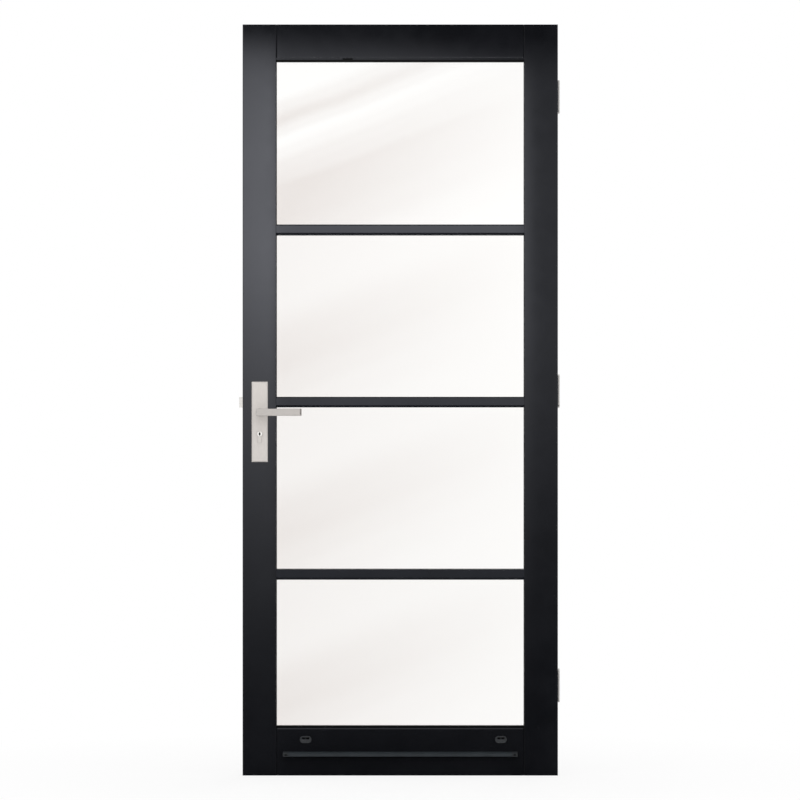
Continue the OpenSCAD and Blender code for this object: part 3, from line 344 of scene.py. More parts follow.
# Painted reflection on the glass: streaks that darken it most along a slanted line in each light. Their
# share at the light's left and right edge; the line's height at the left edge and its climb to the right,
# as shares of the bars' pitch; and how the streaks fade away from the line, downwards and upwards, in the
# lights below the upper bar and in the top light, which has a second streak above the line.
STREAK_SIDES = (0.94, 0.14)
STREAK_LINE = (0.215, 0.56)
STREAK_REACH = (-0.8, 0.8)
STREAKS_BELOW_BAR = [
    (-0.8, 0.18), (-0.5, 0.34), (-0.26, 0.57), (-0.14, 0.74), (0.0, 0.9), (0.1, 0.83), (0.36, 0.44),
    (0.8, 0.5),
]
STREAKS_TOP_LIGHT = [
    (-0.75, 0.0), (-0.6, 0.15), (-0.5, 0.4), (-0.3, 0.9), (-0.15, 1.1), (0.0, 1.2), (0.07, 0.85),
    (0.15, 0.68), (0.22, 0.32), (0.29, 0.03), (0.34, 0.4), (0.41, 0.95), (0.48, 0.45), (0.56, 0.0),
    (0.8, 0.0),
]
# How far the slanted line strays, as a share of the pitch, and half the height of the change to the top
# light's streaks behind the upper bar, in metres
STREAK_STRAY = 0.012
STREAK_CHANGE = 0.005
# The inner pane's painted reflection is fainter: what its darkest streak lets through, as a share of what
# clear glass does
INNER_STREAK = 0.985
# Half the width and half the height of the painted shade round the keyway's mouth, and the shares of these
# it fades between
KEY_MOUTH = (0.003, 0.0036)
KEY_MOUTH_FADE = (0.8, 1.1)
# Depths below the plug's face at which the painted shade in the keyway begins and is full, its tone as a
# share of the nickel's, and how far fine scratches shift it
KEY_DEPTHS = (0.0002, 0.0007)
KEY_DARK = 0.03
KEY_SCRATCH = 0.03


def joint_grooves(tree, place):
    """1 in the grooves at a rail's two ends, else 0."""
    x, y, _ = parts_of(tree, place)
    at_end = sum_node(tree, "GREATER_THAN", sum_node(tree, "ABSOLUTE", x, 0), JOINT_X - JOINT_GAP)
    sunk = sum_node(tree, "GREATER_THAN", y, LEAF_FACE_Y + JOINT_DEEP[0])
    shallow = sum_node(tree, "LESS_THAN", y, LEAF_FACE_Y + JOINT_DEEP[1])
    return sum_node(tree, "MULTIPLY", at_end, sum_node(tree, "MULTIPLY", sunk, shallow))


def painted_wood(name, along, dark, light, settings, jointed=False):
    """Satin paint with the wood's grain faintly under it; the joint grooves at a rail's ends stay dull."""
    finish, tree, shader = blank_finish(name)
    shader.inputs["Specular Tint"].default_value = (*settings.sheen_tint, 1)
    plain = object_space(tree)
    grain = cloud(tree, object_space(tree, along), scale=190, detail=4, harsh=0.6)
    roller = cloud(tree, plain, scale=900)
    drift = cloud(tree, plain, scale=7, detail=3)
    dry = cloud(tree, plain, scale=28, detail=4)
    tree.links.new(two_tone(tree, drift, dark, light), shader.inputs["Base Color"])
    rough = spread(tree, dry, settings.gloss_low, settings.gloss_high)
    relief(tree, shader, grain, strength=0.5, depth=settings.grain_relief)
    relief(tree, shader, roller, strength=0.35, depth=0.00001)
    if jointed:
        rough = sum_node(tree, "MAXIMUM", rough, joint_grooves(tree, plain))
    tree.links.new(rough, shader.inputs["Roughness"])
    return finish


def brushed_steel(name, along, tone, metal):
    """Satin steel with fine brush lines along one axis."""
    finish, tree, shader = blank_finish(name)
    shader.inputs["Metallic"].default_value = 1 - metal.satin_share
    shader.inputs["Anisotropic"].default_value = 0.35
    lines = cloud(tree, object_space(tree, along), scale=2600, detail=3, harsh=0.65)
    hands = cloud(tree, object_space(tree), scale=45, detail=3)
    smoothest, roughest = (metal.brush_roughness + stray for stray in BRUSHED_STRAY)
    tree.links.new(shaded(tree, lines, tone, BRUSHED_SHADES), shader.inputs["Base Color"])
    tree.links.new(spread(tree, hands, smoothest, roughest), shader.inputs["Roughness"])
    relief(tree, shader, lines, strength=0.25, depth=0.000012)
    return finish


def cast_finish(name, tone, roughness, metallic, scale, depth, specular=0.5):
    """Moulded, coated or turned surface with a fine even texture and slight clouding."""
    finish, tree, shader = blank_finish(name)
    shader.inputs["Metallic"].default_value = metallic
    shader.inputs["Specular IOR Level"].default_value = specular
    plain = object_space(tree)
    fine = cloud(tree, plain, scale, detail=3, harsh=0.55)
    broad = cloud(tree, plain, scale=22, detail=3)
    smoothest, roughest = (roughness + stray for stray in CAST_STRAY)
    tree.links.new(shaded(tree, broad, tone, CAST_SHADES), shader.inputs["Base Color"])
    tree.links.new(spread(tree, fine, smoothest, roughest), shader.inputs["Roughness"])
    relief(tree, shader, fine, strength=0.4, depth=depth)
    return finish


def zinc_coat(name, tone):
    """Galvanised sheet with its pale flakes."""
    finish, tree, shader = blank_finish(name)
    shader.inputs["Metallic"].default_value = 1
    flakes = tree.nodes.new("ShaderNodeTexVoronoi")
    flakes.inputs["Scale"].default_value = 260
    tree.links.new(object_space(tree), flakes.inputs["Vector"])
    away = flakes.outputs["Distance"]
    tree.links.new(shaded(tree, away, tone, ZINC_SHADES, FLAKE_SPAN), shader.inputs["Base Color"])
    tree.links.new(spread(tree, away, *ZINC_ROUGHNESS, *FLAKE_SPAN), shader.inputs["Roughness"])
    return finish


def beech(name, tone):
    """Bare beech with its rings along x."""
    finish, tree, shader = blank_finish(name)
    rings = cloud(tree, object_space(tree, ALONG_X), scale=420, detail=4, harsh=0.6)
    tree.links.new(shaded(tree, rings, tone, BEECH_SHADES), shader.inputs["Base Color"])
    tree.links.new(spread(tree, rings, *BEECH_ROUGHNESS), shader.inputs["Roughness"])
    relief(tree, shader, rings, strength=0.4, depth=0.00005)
    return finish


def streaked_glass(name, clear, streaked):
    """Clear glass with painted reflection: slanted streaks that darken it, fading from left to right, with
    a second streak in the top light.
    """
    finish, tree, shader = blank_finish(name)
    shader.inputs["Transmission Weight"].default_value = 1
    shader.inputs["IOR"].default_value = 1.36
    place = object_space(tree)
    x, _, z = parts_of(tree, place)
    across = spread(tree, x, 0, 1, LIGHT_LEFT, LIGHT_RIGHT)
    rows = sum_node(tree, "DIVIDE", sum_node(tree, "SUBTRACT", z, LOW_BAR_Z), BAR_PITCH)
    up = sum_node(tree, "FRACT", sum_node(tree, "ADD", rows, 1), 0)
    line = spread(tree, across, STREAK_LINE[0], sum(STREAK_LINE), 0, 1)
    wander = spread(tree, cloud(tree, place, scale=3), -STREAK_STRAY, STREAK_STRAY)
    above = sum_node(tree, "ADD", sum_node(tree, "SUBTRACT", up, line), wander)
    above = spread(tree, above, 0, 1, *STREAK_REACH)
    streaks_below = grey_ramp(tree, above, share_of(STREAKS_BELOW_BAR, *STREAK_REACH), "EASE")
    streaks_top = grey_ramp(tree, above, share_of(STREAKS_TOP_LIGHT, *STREAK_REACH), "EASE")
    streak_blend = tree.nodes.new("ShaderNodeMix")
    top = spread(tree, z, 0, 1, UPPER_BAR_Z - STREAK_CHANGE, UPPER_BAR_Z + STREAK_CHANGE)
    tree.links.new(top, streak_blend.inputs["Factor"])
    tree.links.new(streaks_below, streak_blend.inputs["A"])
    tree.links.new(streaks_top, streak_blend.inputs["B"])
    # Painted reflection: the streaks darken the glass, fading from its left edge to its right
    streak = sum_node(tree, "MULTIPLY", streak_blend.outputs["Result"], spread(tree, across, *STREAK_SIDES, 0, 1))
    tree.links.new(two_tone(tree, streak, clear, streaked, 0, 1), shader.inputs["Base Color"])
    smear = cloud(tree, place, scale=6, detail=4)
    tree.links.new(spread(tree, smear, low=0, high=0.008), shader.inputs["Roughness"])
    return finish


def keyed_nickel(name, tone, low, high):
    """Bright nickel on the plug's face, with painted shade inside its keyway and round the keyway's mouth.
    """
    finish, tree, shader = blank_finish(name)
    shader.inputs["Metallic"].default_value = 1
    place = object_space(tree)
    _, y, _ = parts_of(tree, place)
    sunk = spread(tree, y, 0, 1, *(low[1] + depth for depth in KEY_DEPTHS))
    middle = ((low[0] + high[0]) / 2, 0, (low[2] + high[2]) / 2)
    away = vector_node(tree, "SUBTRACT", place, middle)
    shares = vector_node(tree, "DIVIDE", away, (KEY_MOUTH[0], 1, KEY_MOUTH[1]))
    flat = vector_node(tree, "MULTIPLY", shares, (1, 0, 1))
    mouth_shade = spread(tree, vector_node(tree, "LENGTH", flat), 1, 0, *KEY_MOUTH_FADE)
    fine = cloud(tree, place, scale=1600, detail=3, harsh=0.55)
    scratch = spread(tree, fine, -KEY_SCRATCH, KEY_SCRATCH)
    # Painted shade: darker inside the keyway and round its mouth, with fine scratches shifting it
    shade_and_scratches = sum_node(tree, "ADD", sum_node(tree, "MAXIMUM", sunk, mouth_shade), scratch)
    dark = lighter(tone, KEY_DARK)
    tree.links.new(two_tone(tree, shade_and_scratches, tone, dark, at_dark=0.1, at_light=0.9), shader.inputs["Base Color"])
    tree.links.new(spread(tree, fine, low=0.2, high=0.3), shader.inputs["Roughness"])
    relief(tree, shader, fine, strength=0.3, depth=0.000008)
    return finish


# Pieces

class DOOR_OT_paint_frame(bpy.types.Operator):
    """Paints stiles, rails, beads and the vent strip black, grain along each piece"""
    bl_idname = "door.paint_frame"
    bl_label = "Paint Frame"

    def execute(self, context):
        paint = context.scene.door_paint
        tones = (paint.frame_dark, paint.frame_light)
        upright = painted_wood("stile_paint", ALONG_Z, *tones, paint)
        level = painted_wood("rail_paint", ALONG_X, *tones, paint, jointed=True)
        dress(upright, "lock_stile", "hinge_stile", "bead_left", "bead_right")
        dress(level, "top_rail", "bottom_rail", "bead_top", "bead_bottom", "top_vent_strip")
        return {"FINISHED"}


class DOOR_OT_paint_bars(bpy.types.Operator):
    """Paints the glazing bars anthracite"""
    bl_idname = "door.paint_bars"
    bl_label = "Paint Bars"

    def execute(self, context):
        paint = context.scene.door_paint
        bars = painted_wood("bar_paint", ALONG_X, paint.bar_dark, paint.bar_light, paint)
        for side in ("outer", "inner"):
            dress(bars, *(f"{side}_bar_{level}" for level in ("upper", "middle", "lower")))
        return {"FINISHED"}


class DOOR_OT_fit_glass(bpy.types.Operator):
    """Gives panes, spacer, cavity bars, seals, setting blocks and lever bushes their finishes"""
    bl_idname = "door.fit_glass"
    bl_label = "Fit Glass"

    def execute(self, context):
        glass = context.scene.door_glass
        trim = context.scene.door_trim
        inner_tint = lighter(glass.clear_tint, INNER_STREAK)
        dress(streaked_glass("outer_glass", glass.clear_tint, glass.streak_tint), "outer_pane")
        dress(streaked_glass("inner_glass", glass.clear_tint, inner_tint), "inner_pane")
        for name in ("outer_pane", "inner_pane"):
            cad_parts[name].visible_shadow = False
        coat = cast_finish(
            "spacer_coat", glass.spacer_tone, roughness=0.42, metallic=1, scale=1500, depth=0.00001)
        rubber = cast_finish(
            "seal_rubber_skin", glass.seal_tone, roughness=0.75, metallic=0, scale=1200, depth=0.00003,
            specular=0.12)
        plastic = cast_finish(
            "block_plastic", trim.block_tone, roughness=0.5, metallic=0, scale=900, depth=0.00002)
        dress(coat, "glass_spacer", "cavity_bars")
        dress(rubber, "outer_seal", "inner_seal")
        dress(plastic, "setting_blocks", "lever_bushes")
        return {"FINISHED"}


class DOOR_OT_finish_handles(bpy.types.Operator):
    """Brushes levers and backplates, each along its length, and finishes cylinder, spindle and screws"""
    bl_idname = "door.finish_handles"
    bl_label = "Finish Handles"

    def execute(self, context):
        metal = context.scene.door_metal
        lengthwise = brushed_steel("lever_brushed", ALONG_X, metal.lever_tone, metal)
        upright = brushed_steel("plate_brushed", ALONG_Z, metal.steel_tone, metal)
        turned = cast_finish(
            "turned_steel", metal.steel_tone, roughness=0.3, metallic=1, scale=1400, depth=0.000008)
        brass = cast_finish(
            "cam_brass", metal.brass_tone, roughness=0.3, metallic=1, scale=1600, depth=0.000008)
        nickel = keyed_nickel("plug_nickel", metal.nickel_tone, *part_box("outer_key_plug"))
        dress(lengthwise, "outer_lever", "inner_lever")
        dress(upright, "outer_backplate", "inner_backplate", "cylinder_body")
        dress(turned, "inner_thumb_turn", "backplate_bolts", "lever_grub_screws", "spindle")
        dress(nickel, "outer_key_plug")
        dress(brass, "cylinder_cam", "follower")
        return {"FINISHED"}


class DOOR_OT_finish_lock(bpy.types.Operator):
    """Finishes the lock case, face plate, bolts and their screws"""
    bl_idname = "door.finish_lock"
    bl_label = "Finish Lock"

    def execute(self, context):
        metal = context.scene.door_metal
        upright = brushed_steel("face_plate_brushed", ALONG_Z, metal.steel_tone, metal)
        lengthwise = brushed_steel("bolt_nickel", ALONG_X, metal.nickel_tone, metal)
        nickel = cast_finish(
            "screw_nickel", metal.nickel_tone, roughness=0.26, metallic=1, scale=1100, depth=0.000008)
        dress(upright, "lock_face_plate")
        dress(lengthwise, "latch_bolt", "dead_bolt")
        dress(nickel, "face_plate_screws", "cylinder_screw")
        dress(zinc_coat("case_zinc", metal.zinc_tone), "lock_case", "lock_cover", "latch_spring")
        return {"FINISHED"}


class DOOR_OT_finish_hinges(bpy.types.Operator):
    """Brushes the hinge plates and finishes pins, bearings and screws"""
    bl_idname = "door.finish_hinges"
    bl_label = "Finish Hinges"

    def execute(self, context):
        metal = context.scene.door_metal
        plate = brushed_steel("hinge_brushed", ALONG_Z, metal.hinge_tone, metal)
        pin = cast_finish(
            "hinge_pin_steel", metal.hinge_tone, roughness=0.24, metallic=1, scale=1300, depth=0.000006)
        for level in ("bottom", "middle", "top"):
            dress(plate, f"hinge_door_plate_{level}", f"hinge_jamb_plate_{level}")
        dress(pin, "hinge_pins", "hinge_bearings", "hinge_screws")
        return {"FINISHED"}


class DOOR_OT_finish_water_parts(bpy.types.Operator):
    """Finishes the drip rail with its caps and screws, the drain caps and the dowels"""
    bl_idname = "door.finish_water_parts"
    bl_label = "Finish Water Parts"

    def execute(self, context):
        trim = context.scene.door_trim
        coat = cast_finish(
            "drip_powder_coat", trim.drip_tone, roughness=0.4, metallic=0, scale=1700, depth=0.00003)
        plastic = cast_finish(
            "cap_plastic", trim.cap_tone, roughness=0.42, metallic=0, scale=1100, depth=0.00002)
        black = cast_finish(
            "screw_black", trim.screw_tone, roughness=0.4, metallic=1, scale=1500, depth=0.00001)
        dress(coat, "drip_rail")
        dress(plastic, "drip_cap_left", "drip_cap_right", "drain_cap_left", "drain_cap_right")
        dress(black, "drip_screws")
        dress(beech("dowel_beech", trim.dowel_tone), "rail_dowels")
        return {"FINISHED"}


# How far a bead's sloped face falls back towards the frame, and its straight foot next to the glass
BEAD_FALL = 0.006
BEAD_FOOT = 0.004
# Sides of a pin's head, and the width of its flat top as a share of its foot's
HEAD_SIDES = 14
HEAD_TOP = 0.62


def pin_rows(end_gap):
    """Start, end and aim of each row of pins, half way down the sloped faces of the four beads."""
    glass_y, room_y = BEAD_LEFT[0][1], BEAD_LEFT[1][1]
    rise = room_y - glass_y - BEAD_FOOT
    inward, roomward = Vector((rise, BEAD_FALL)).normalized()
    y = room_y - rise / 2
    left_x, right_x = BEAD_LEFT[1][0] - BEAD_FALL / 2, BEAD_RIGHT[0][0] + BEAD_FALL / 2
    low_z, high_z = BEAD_BOTTOM[1][2] - BEAD_FALL / 2, BEAD_TOP[0][2] + BEAD_FALL / 2
    return [
        ((left_x, y, low_z + end_gap), (left_x, y, high_z - end_gap), (inward, roomward, 0)),
        ((right_x, y, low_z + end_gap), (right_x, y, high_z - end_gap), (-inward, roomward, 0)),
        ((left_x + end_gap, y, low_z), (right_x - end_gap, y, low_z), (0, roomward, inward)),
        ((left_x + end_gap, y, high_z), (right_x - end_gap, y, high_z), (0, roomward, -inward)),
    ]


def pin_path(rows):
    """A mesh with one edge per row, and the row's aim at both its ends."""
    path = bpy.data.meshes.new("bead_pin_path")
    points = [point for start, end, _ in rows for point in (start, end)]
    path.from_pydata(points, [(2 * i, 2 * i + 1) for i in range(len(rows))], [])
    aims = path.attributes.new("aim", "FLOAT_VECTOR", "POINT")
    for i, (_, _, aim) in enumerate(rows):
        aims.data[2 * i].vector = aim
        aims.data[2 * i + 1].vector = aim
    return path


def socket_in(tree, name, kind):
    """A named input on a geometry tree."""
    return tree.interface.new_socket(name, in_out="INPUT", socket_type=kind)


def pin_row_tree(finish):
    """Geometry tree that sets pin heads along rows of edges, turned to each row's aim."""
    tree = bpy.data.node_groups.new("bead_pin_rows", "GeometryNodeTree")
    socket_in(tree, "Rows", "NodeSocketGeometry")
    for name in ("Pitch", "Head radius", "Head height"):
        socket_in(tree, name, "NodeSocketFloat")
    tree.interface.new_socket("Pins", in_out="OUTPUT", socket_type="NodeSocketGeometry")
    nodes, links = tree.nodes, tree.links
    given = nodes.new("NodeGroupInput")
    rows = nodes.new("GeometryNodeMeshToCurve")
    links.new(given.outputs["Rows"], rows.inputs["Mesh"])
    spaced = nodes.new("GeometryNodeResampleCurve")
    spaced.mode = "LENGTH"
    links.new(rows.outputs["Curve"], spaced.inputs["Curve"])
    links.new(given.outputs["Pitch"], spaced.inputs["Length"])
    aim = nodes.new("GeometryNodeInputNamedAttribute")
    aim.data_type = "FLOAT_VECTOR"
    aim.inputs["Name"].default_value = "aim"
    turn = nodes.new("FunctionNodeAlignRotationToVector")
    turn.axis = "Z"
    links.new(aim.outputs["Attribute"], turn.inputs["Vector"])
    head = nodes.new("GeometryNodeMeshCone")
    head.inputs["Vertices"].default_value = HEAD_SIDES
    head.inputs["Radius Top"].default_value = HEAD_TOP
    head.inputs["Radius Bottom"].default_value = 1
    head.inputs["Depth"].default_value = 1
    size = nodes.new("ShaderNodeCombineXYZ")
    links.new(given.outputs["Head radius"], size.inputs["X"])
    links.new(given.outputs["Head radius"], size.inputs["Y"])
    links.new(given.outputs["Head height"], size.inputs["Z"])
    placed = nodes.new("GeometryNodeInstanceOnPoints")
    links.new(spaced.outputs["Curve"], placed.inputs["Points"])
    links.new(head.outputs["Mesh"], placed.inputs["Instance"])
    links.new(turn.outputs["Rotation"], placed.inputs["Rotation"])
    links.new(size.outputs["Vector"], placed.inputs["Scale"])
    solid = nodes.new("GeometryNodeRealizeInstances")
    links.new(placed.outputs["Instances"], solid.inputs["Geometry"])
    painted = nodes.new("GeometryNodeSetMaterial")
    painted.inputs["Material"].default_value = finish
    links.new(solid.outputs["Geometry"], painted.inputs["Geometry"])
    result = nodes.new("NodeGroupOutput")
    links.new(painted.outputs["Geometry"], result.inputs["Pins"])
    return tree


class DOOR_OT_pin_beads(bpy.types.Operator):
    """Sets rows of pin heads in the sloped faces of the four inside beads"""
    bl_idname = "door.pin_beads"
    bl_label = "Pin Beads"

    def execute(self, context):
        pins = context.scene.door_pins
        paint = context.scene.door_paint
        finish = painted_wood("pin_paint", (1, 1, 1), paint.frame_dark, paint.frame_light, paint)
        tree = pin_row_tree(finish)
        guide = bpy.data.objects.new("bead_pin_guide", pin_path(pin_rows(pins.end_gap)))
        context.scene.collection.objects.link(guide)
        modifier = guide.modifiers.new("Pin rows", "NODES")
        modifier.node_group = tree
        wanted = {"Pitch": pins.pitch, "Head radius": pins.head_radius, "Head height": pins.head_height}
        for item in tree.interface.items_tree:
            if item.in_out == "INPUT" and item.name in wanted:
                modifier[item.identifier] = wanted[item.name]
        ready = guide.evaluated_get(context.evaluated_depsgraph_get())
        heads = bpy.data.meshes.new_from_object(ready)
        if not heads.polygons:
            raise RuntimeError("the pin rows came out empty")
        bpy.data.objects.remove(guide)
        piece = bpy.data.objects.new("bead_pins", heads)
        context.scene.collection.objects.link(piece)
        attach(piece, "leaf")
        return {"FINISHED"}


# Stage

# Greys that glossy faces mirror from the room, from straight down to straight up
MIRRORED_ROOM = [(0.0, 0.03), (0.35, 0.04), (0.45, 0.3), (0.5, 1.0), (0.75, 1.0), (0.9, 0.5), (1.0, 0.3)]
# Light board: its corners as x and z, its brightness across, the lift of its fading on the right and
# the heights that lift grows over, the drop of its upper edge across and that edge's raise with the lift,
# the edge's fading, and how the board fades downwards; places in metres, brightness as a share
BOARD_CORNERS = ((-0.505, -0.45), (0.5, 2.29))
BOARD_ACROSS = [
    (-0.505, 0.8), (-0.46, 0.82), (-0.4, 0.91), (-0.374, 1.0), (-0.366, 0.53), (0.35, 0.53), (0.4, 0.16),
    (0.5, 0.16),
]
BOARD_LIFT = [(-0.505, 0.0), (0.34, 0.0), (0.4, 0.28), (0.5, 0.28)]
BOARD_LIFT_SPAN = (0.3, 0.85)
BOARD_DROP = [
    (-0.505, 0.0), (-0.365, 0.0125), (-0.118, 0.02), (0.0, 0.0265), (0.118, 0.036), (0.236, 0.058),
    (0.345, 0.07), (0.4, 0.066), (0.5, 0.07),
]
BOARD_RAISE = 0.12
BOARD_EDGE_SPAN = (1.7, 2.3)
BOARD_EDGE = [
    (1.8, 1.0), (1.92, 0.89), (2.01, 0.78), (2.07, 0.58), (2.125, 0.19), (2.16, 0.02), (2.2, 0.0),
]
BOARD_FALL_SPAN = (-0.45, 1.6)
BOARD_FALL = [
    (-0.2, 0.002), (-0.05, 0.004), (0.05, 0.012), (0.32, 0.06), (0.61, 0.175), (0.85, 0.315),
    (1.06, 0.47), (1.2, 0.615), (1.35, 0.83), (1.5, 1.0),
]
# Floor: its sides, its gap under the leaf and its chalk grey; then its share of plain white near the leaf
# and the distances over which that share grows to the whole
FLOOR_X, FLOOR_Y = (-6, 6), (-4.5, 1.8)
FLOOR_GAP = 0.0005
FLOOR_GREY = 0.86
FLOOR_WHITE = 0.84
FLOOR_WHITE_SPAN = (0.45, 1.6)
# Soft lamps: name, place, size, the setting that gives the power and the share taken of it
LAMPS = (
    ("front_lamp", (-1.4, -3.2, 2.6), 4.0, "key_power", 1),
    ("side_lamp", (2.6, -2.2, 1.6), 1.4, "key_power", 0.35),
    ("inside_lamp", (1.0, 3.4, 2.4), 1.8, "back_power", 1),
)
# Sideways shift of the picture, as a share of its width
PICTURE_SHIFT = -0.0003


def bare_finish(name):
    """A new node material without a shader, and its tree."""
    finish, tree, shader = blank_finish(name)
    tree.nodes.remove(shader)
    return finish, tree


def sheet(name, corners, finish):
    """A flat piece with four corners and a finish."""
    mesh = bpy.data.meshes.new(name)
    mesh.from_pydata(corners, [], [(0, 1, 2, 3)])
    mesh.materials.append(finish)
    return bpy.data.objects.new(name, mesh)


def seen_directly(tree):
    """1 for rays from the camera or through glass, else 0, with the glossy flag beside it."""
    path = tree.nodes.new("ShaderNodeLightPath")
    shown = sum_node(tree, "MAXIMUM", path.outputs["Is Camera Ray"], path.outputs["Is Transmission Ray"])
    return shown, path.outputs["Is Glossy Ray"]


def studio_world(stage):
    """White to look at and through glass; glossy faces mirror pale sides and a dark ground."""
    world = bpy.data.worlds.new("pale_studio")
    world.use_nodes = True
    tree = world.node_tree
    place = tree.nodes.new("ShaderNodeTexCoord")
    _, _, z = parts_of(tree, place.outputs["Generated"])
    mirrored = grey_ramp(tree, spread(tree, z, 0, 1, -1, 1), MIRRORED_ROOM)
    shown, glossy = seen_directly(tree)
    even = tree.nodes.new("ShaderNodeMix")
    tree.links.new(glossy, even.inputs["Factor"])
    even.inputs["A"].default_value = stage.room_light
    tree.links.new(mirrored, even.inputs["B"])
    final = tree.nodes.new("ShaderNodeMix")
    tree.links.new(shown, final.inputs["Factor"])
    tree.links.new(even.outputs["Result"], final.inputs["A"])
    final.inputs["B"].default_value = 1
    tree.links.new(final.outputs["Result"], tree.nodes["Background"].inputs["Strength"])
    tree.nodes["Background"].inputs["Color"].default_value = (1, 1, 1, 1)
    return world


def light_board(stage):
    """A tall light board that only glossy faces see: bright at its upper left, fading down and right."""
    (left, low), (right, high) = BOARD_CORNERS
    finish, tree = bare_finish("board_light")
    place = tree.nodes.new("ShaderNodeTexCoord")
    x, _, z = parts_of(tree, place.outputs["Object"])
    across = spread(tree, x, 0, 1, left, right)
    level = grey_ramp(tree, across, share_of(BOARD_ACROSS, left, right))
    lift = grey_ramp(tree, across, share_of(BOARD_LIFT, left, right))
    drop = grey_ramp(tree, across, share_of(BOARD_DROP, left, right))
    drop = sum_node(tree, "SUBTRACT", drop, sum_node(tree, "MULTIPLY", lift, BOARD_RAISE))
    edge_place = spread(tree, sum_node(tree, "ADD", z, drop), 0, 1, *BOARD_EDGE_SPAN)
    edge = grey_ramp(tree, edge_place, share_of(BOARD_EDGE, *BOARD_EDGE_SPAN))
    lift = sum_node(tree, "MULTIPLY", lift, spread(tree, z, 0, 1, *BOARD_LIFT_SPAN))
    fall_place = spread(tree, sum_node(tree, "ADD", z, lift), 0, 1, *BOARD_FALL_SPAN)
    fall = grey_ramp(tree, fall_place, share_of(BOARD_FALL, *BOARD_FALL_SPAN))
    strength = sum_node(tree, "MULTIPLY", sum_node(tree, "MULTIPLY", edge, fall), level)
    glow = tree.nodes.new("ShaderNodeEmission")
    tree.links.new(sum_node(tree, "MULTIPLY", strength, stage.window_light), glow.inputs["Strength"])
    tree.links.new(glow.outputs["Emission"], tree.nodes["Material Output"].inputs["Surface"])
    y = LEAF_FACE_Y - stage.board_gap
    corners = [(left, y, low), (left, y, high), (right, y, high), (right, y, low)]
    board = sheet("light_board", corners, finish)
    for kind in ("camera", "diffuse", "transmission", "shadow", "volume_scatter"):
        setattr(board, f"visible_{kind}", False)
    return board


def pale_floor():
    """A wide pale floor under the leaf that takes its soft shadow and runs out to white."""
    finish, tree = bare_finish("floor_white")
    chalk = tree.nodes.new("ShaderNodeBsdfDiffuse")
    chalk.inputs["Color"].default_value = (FLOOR_GREY, FLOOR_GREY, FLOOR_GREY, 1)
    white = tree.nodes.new("ShaderNodeEmission")
    place = tree.nodes.new("ShaderNodeTexCoord")
    reach = vector_node(tree, "LENGTH", place.outputs["Object"])
    far = spread(tree, reach, FLOOR_WHITE, 1, *FLOOR_WHITE_SPAN)
    shown, glossy = seen_directly(tree)
    share = sum_node(tree, "MULTIPLY", far, sum_node(tree, "MAXIMUM", shown, glossy))
    blend = tree.nodes.new("ShaderNodeMixShader")
    tree.links.new(share, blend.inputs["Fac"])
    tree.links.new(chalk.outputs["BSDF"], blend.inputs[1])
    tree.links.new(white.outputs["Emission"], blend.inputs[2])
    tree.links.new(blend.outputs["Shader"], tree.nodes["Material Output"].inputs["Surface"])
    (left, right), (front, back) = FLOOR_X, FLOOR_Y
    z = LEAF_LOW[2] - FLOOR_GAP
    corners = [(left, front, z), (right, front, z), (right, back, z), (left, back, z)]
    floor = sheet("pale_floor", corners, finish)
    floor.visible_glossy = False
    return floor


def soft_lamp(name, place, target, size, power):
    """A square soft lamp that plain faces see and mirrors don't."""
    data = bpy.data.lights.new(name, "AREA")
    data.shape = "SQUARE"
    data.size = size
    data.energy = power
    lamp = bpy.data.objects.new(name, data)
    lamp.location = place
    lamp.rotation_euler = (Vector(target) - Vector(place)).to_track_quat("-Z", "Y").to_euler()
    for kind in ("camera", "glossy", "transmission"):
        setattr(lamp, f"visible_{kind}", False)
    return lamp


def photo_camera(stage):
    """A camera square to the outside face that takes in the picture's width there."""
    data = bpy.data.cameras.new("photo_camera")
    data.sensor_width = 36
    data.sensor_fit = "HORIZONTAL"
    data.lens = data.sensor_width * (stage.camera_distance + LEAF_FACE_Y) / stage.picture_width
    data.shift_x = PICTURE_SHIFT
    camera = bpy.data.objects.new("photo_camera", data)
    camera.location = (0, -stage.camera_distance, LEAF_MIDDLE_Z)
    camera.rotation_euler = (math.pi / 2, 0, 0)
    return camera


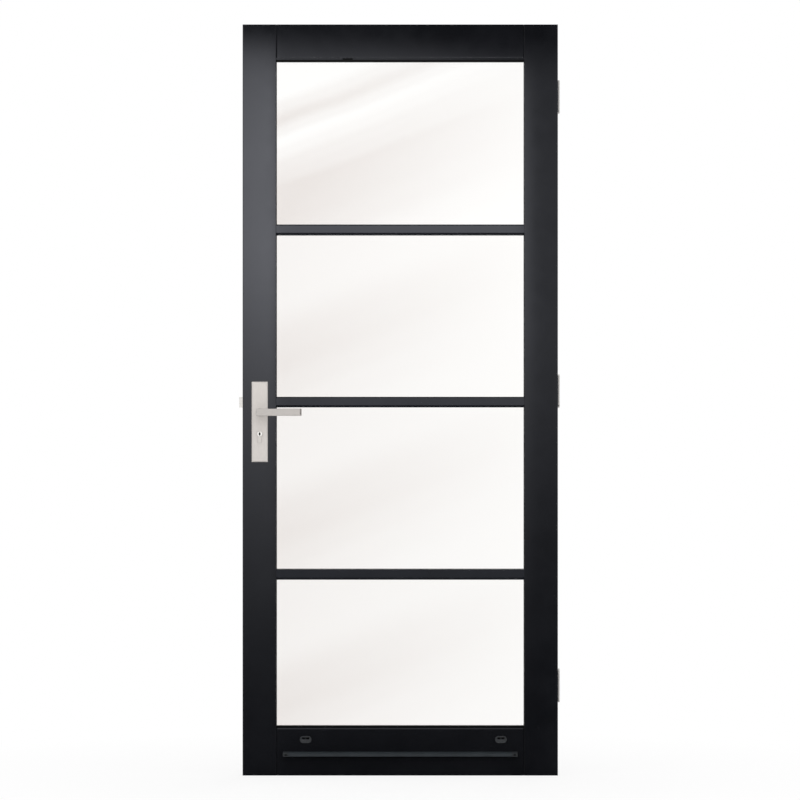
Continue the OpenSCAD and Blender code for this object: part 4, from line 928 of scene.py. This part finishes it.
class DOOR_OT_set_stage(bpy.types.Operator):
    """Builds the floor, soft light and a camera square to the outside face"""
    bl_idname = "door.set_stage"
    bl_label = "Set Stage"

    def execute(self, context):
        scene = context.scene
        stage = scene.door_stage
        scene.view_settings.view_transform = "Standard"
        scene.world = studio_world(stage)
        for backdrop in (pale_floor(), light_board(stage)):
            scene.collection.objects.link(backdrop)
        middle = (0, 0, LEAF_MIDDLE_Z)
        for name, place, size, setting, share in LAMPS:
            lamp = soft_lamp(name, place, middle, size, getattr(stage, setting) * share)
            scene.collection.objects.link(lamp)
        scene.camera = photo_camera(stage)
        scene.collection.objects.link(scene.camera)
        return {"FINISHED"}


class DOOR_PT_finishes(bpy.types.Panel):
    """Lists the door's steps"""
    bl_idname = "DOOR_PT_finishes"
    bl_label = "Balcony Door"
    bl_space_type = "VIEW_3D"
    bl_region_type = "UI"
    bl_category = "Door"

    def draw(self, context):
        for step in STEPS:
            self.layout.operator(step.bl_idname)


SETTINGS = {
    "door_paint": DoorPaintSettings,
    "door_glass": DoorGlassSettings,
    "door_metal": DoorMetalSettings,
    "door_trim": DoorTrimSettings,
    "door_pins": DoorPinSettings,
    "door_stage": DoorStageSettings,
}
STEPS = (
    DOOR_OT_paint_frame,
    DOOR_OT_paint_bars,
    DOOR_OT_fit_glass,
    DOOR_OT_finish_handles,
    DOOR_OT_finish_lock,
    DOOR_OT_finish_hinges,
    DOOR_OT_finish_water_parts,
    DOOR_OT_pin_beads,
    DOOR_OT_set_stage,
)


def register():
    for kind in (*SETTINGS.values(), *STEPS, DOOR_PT_finishes):
        bpy.utils.register_class(kind)
    for name, group in SETTINGS.items():
        setattr(bpy.types.Scene, name, bpy.props.PointerProperty(type=group))


def unregister():
    for name in SETTINGS:
        delattr(bpy.types.Scene, name)
    for kind in (DOOR_PT_finishes, *reversed(STEPS), *reversed(SETTINGS.values())):
        bpy.utils.unregister_class(kind)


def main():
    register()
    bpy.ops.door.paint_frame()
    bpy.ops.door.paint_bars()
    bpy.ops.door.fit_glass()
    bpy.ops.door.finish_handles()
    bpy.ops.door.finish_lock()
    bpy.ops.door.finish_hinges()
    bpy.ops.door.finish_water_parts()
    bpy.ops.door.pin_beads()
    bpy.ops.door.set_stage()


if __name__ == "__main__":
    main()
